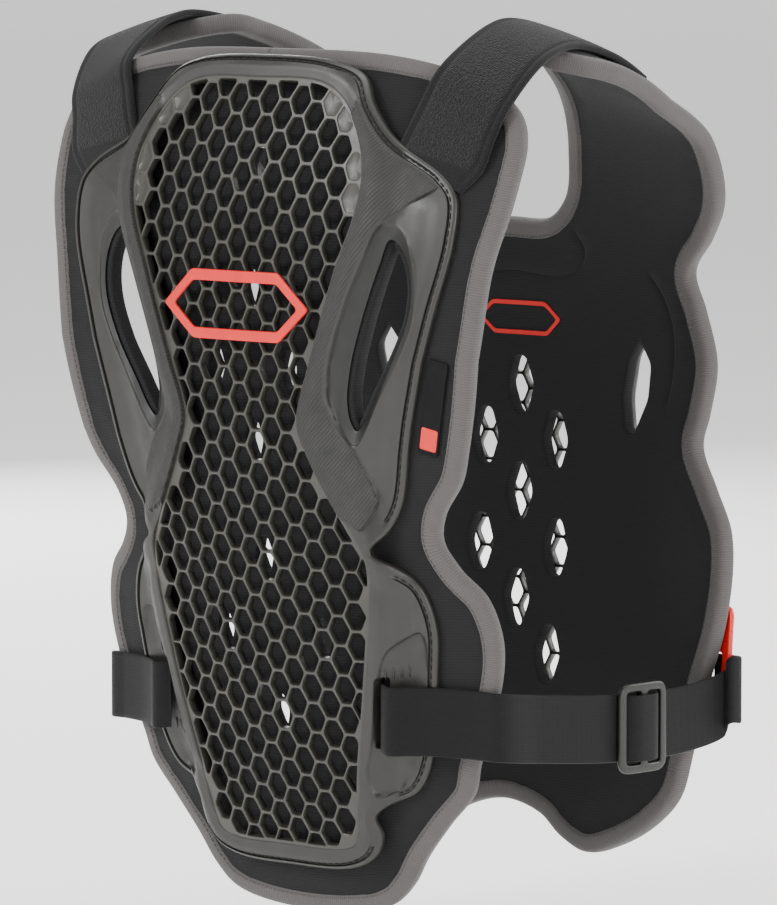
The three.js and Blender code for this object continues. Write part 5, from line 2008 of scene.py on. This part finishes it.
class PROTECTOR_OT_fittings(bpy.types.Operator):
    """Builds the slider buckles and the hook clips"""

    bl_idname = "protector.fittings"
    bl_label = "Sliders and hooks"

    def execute(self, context):
        for label, side in SIDES.items():
            slider, turn = slider_buckle(f"slider_{label}", side)
            dress(slider, finish_of("slider"), [f"slider_buckle_{label}"])
            dress(turn, finish_of("elastic"))
            clip = hook_clip(f"clip_{label}", side)
            dress(clip, finish_of("clip"), [f"hook_clip_{label}"])
        return {"FINISHED"}


class PROTECTOR_OT_badge(bpy.types.Operator):
    """Builds the plain ring on the chest and the bare side tag"""

    bl_idname = "protector.badge"
    bl_label = "Badge and tag"

    def execute(self, context):
        dress(badge(), finish_of("badge"), ["chest_badge"])
        tag = side_tag("tag", 0, 1, 0, LABEL_THICK)
        dress(tag, finish_of("label"), ["side_label"])
        dress(inner_print(), finish_of("print"))
        dress(side_tag("tag_stripe", 0.03, 0.3, LABEL_THICK, 0.25, 1.0), finish_of("badge"))
        return {"FINISHED"}


CAMERA_PLACE = (2.471, -2.944, 0.134)
CAMERA_TURN = 40.0
CAMERA_FALL = 2.0
FOCAL_PIXELS = 6500
IMAGE_WIDTH = 777
IMAGE_HEIGHT = 905
ORIGIN_PIXEL = (375, 35)
SENSOR = 36.0


class PROTECTOR_OT_stage(bpy.types.Operator):
    """Builds the floor, the lights and the camera"""

    bl_idname = "protector.stage"
    bl_label = "Stage"

    def execute(self, context):
        add_floor()
        add_lights()
        add_camera()
        return {"FINISHED"}


FLOOR_Z = -0.56
FLOOR_REACH = 30.0
BACKDROP_RADIUS = 12.0
WALL_HEIGHT = 16.0
FLOOR_GLOW = 0.42
PAINT_STIPPLE = 1.111


def add_floor():
    """A pale floor that curves up into a backdrop all round."""
    profile = [(r, FLOOR_Z) for r in (0.001, 3.0, FLOOR_REACH - BACKDROP_RADIUS)]
    for k in range(1, 13):
        angle = math.pi / 2 * k / 12
        profile.append((
            FLOOR_REACH - BACKDROP_RADIUS * (1 - math.sin(angle)),
            FLOOR_Z + BACKDROP_RADIUS * (1 - math.cos(angle)),
        ))
    profile.append((FLOOR_REACH, FLOOR_Z + WALL_HEIGHT))
    turns = 64
    verts = [
        (r * math.cos(2 * math.pi * k / turns), r * math.sin(2 * math.pi * k / turns), z)
        for r, z in profile
        for k in range(turns)
    ]
    faces = [
        (i * turns + k, i * turns + (k + 1) % turns, (i + 1) * turns + (k + 1) % turns, (i + 1) * turns + k)
        for i in range(len(profile) - 1)
        for k in range(turns)
    ]
    floor = mesh_object("floor", verts, faces, 80)
    made, node = new_material("matt_white_paint")
    place = node(OBJECT_PLACE)
    stipple = node(*NOISE, grain(place, PAINT_STIPPLE, 2.0))
    sockets = {
        "Base Color": from_hex("#fbfbfa"),
        "Roughness": 0.9,
        "Emission Color": from_hex("#ffffff"),
        "Emission Strength": FLOOR_GLOW,
        "Normal": relief(node, stipple, 0.05, 0.3),
    }
    floor.data.materials.append(close_material(made, sockets))


# A broad key from the camera's left, a fill from its right, one above and two behind: place and
# size in metres, and power in watts
LIGHTS = [
    ("key", (-0.9, -2.6, 1.3), 1.3, 95), ("fill", (2.9, -0.6, 0.5), 1.5, 60),
    ("top", (0.2, 0.2, 2.4), 1.8, 60), ("back_left", (-2.2, 1.6, 0.6), 1.4, 55),
    ("back_right", (1.8, 2.4, 0.8), 1.4, 55),
]
LIT_PLACE = (0, 0, -0.22)
STUDIO_LIGHT = 0.35


def add_light(name, place, size, power):
    """A soft square white light that faces the protector."""
    light = bpy.data.lights.new(name, "AREA")
    light.size = size
    light.energy = power
    made = bpy.data.objects.new(name, light)
    made.location = place
    made.rotation_euler = (Vector(LIT_PLACE) - Vector(place)).to_track_quat("-Z", "Y").to_euler()
    bpy.context.scene.collection.objects.link(made)


def add_lights():
    """The five soft lights and the even light of the studio."""
    for name, place, size, power in LIGHTS:
        add_light(name, place, size, power)
    world = bpy.data.worlds.new("studio")
    world.use_nodes = True
    world.node_tree.nodes["Background"].inputs["Color"].default_value = (1, 1, 1, 1)
    world.node_tree.nodes["Background"].inputs["Strength"].default_value = STUDIO_LIGHT
    bpy.context.scene.world = world


def add_camera():
    """The camera at the photograph's angle, framed as it is."""
    turn, fall = math.radians(CAMERA_TURN), math.radians(CAMERA_FALL)
    forward = Vector((-math.sin(turn) * math.cos(fall), math.cos(turn) * math.cos(fall), -math.sin(fall)))
    right = Vector((math.cos(turn), math.sin(turn), 0))
    up = right.cross(forward)
    across = (IMAGE_WIDTH / 2 - ORIGIN_PIXEL[0]) / FOCAL_PIXELS
    down = (IMAGE_HEIGHT / 2 - ORIGIN_PIXEL[1]) / FOCAL_PIXELS
    aim = (forward + right * across - up * down).normalized()
    side = aim.cross(up).normalized()
    level = side.cross(aim)
    camera = bpy.data.cameras.new("camera")
    camera.sensor_width = SENSOR
    camera.lens = FOCAL_PIXELS * SENSOR / max(IMAGE_WIDTH, IMAGE_HEIGHT)
    camera.clip_end = 100
    made = bpy.data.objects.new("camera", camera)
    basis = Matrix((side, level, -aim)).transposed().to_4x4()
    basis.translation = CAMERA_PLACE
    made.matrix_world = basis
    bpy.context.scene.collection.objects.link(made)
    bpy.context.scene.camera = made


OPERATORS = (
    PROTECTOR_OT_stage,
    PROTECTOR_OT_foam,
    PROTECTOR_OT_tape,
    PROTECTOR_OT_plates,
    PROTECTOR_OT_grilles,
    PROTECTOR_OT_shoulder_straps,
    PROTECTOR_OT_waist_straps,
    PROTECTOR_OT_fittings,
    PROTECTOR_OT_badge,
)


class PROTECTOR_PT_panel(bpy.types.Panel):
    """Lists the protector's pieces in the sidebar"""

    bl_label = "Protector"
    bl_idname = "PROTECTOR_PT_panel"
    bl_space_type = "VIEW_3D"
    bl_region_type = "UI"
    bl_category = "Protector"

    def draw(self, context):
        for group in (context.scene.protector_sizes, context.scene.protector_colours):
            for name in group.__annotations__:
                self.layout.prop(group, name)
        for operator in OPERATORS:
            self.layout.operator(operator.bl_idname)


CLASSES = (ProtectorSizes, ProtectorColours, *OPERATORS, PROTECTOR_PT_panel)


def register():
    """Registers the classes and the scene's settings."""
    for item in CLASSES:
        bpy.utils.register_class(item)
    bpy.types.Scene.protector_sizes = PointerProperty(type=ProtectorSizes)
    bpy.types.Scene.protector_colours = PointerProperty(type=ProtectorColours)


def unregister():
    """Removes the scene's settings and the classes."""
    del bpy.types.Scene.protector_colours
    del bpy.types.Scene.protector_sizes
    for item in reversed(CLASSES):
        bpy.utils.unregister_class(item)


def main():
    """Builds every piece."""
    register()
    for operator in OPERATORS:
        group, name = operator.bl_idname.split(".")
        getattr(getattr(bpy.ops, group), name)()


if __name__ == "__main__":
    main()
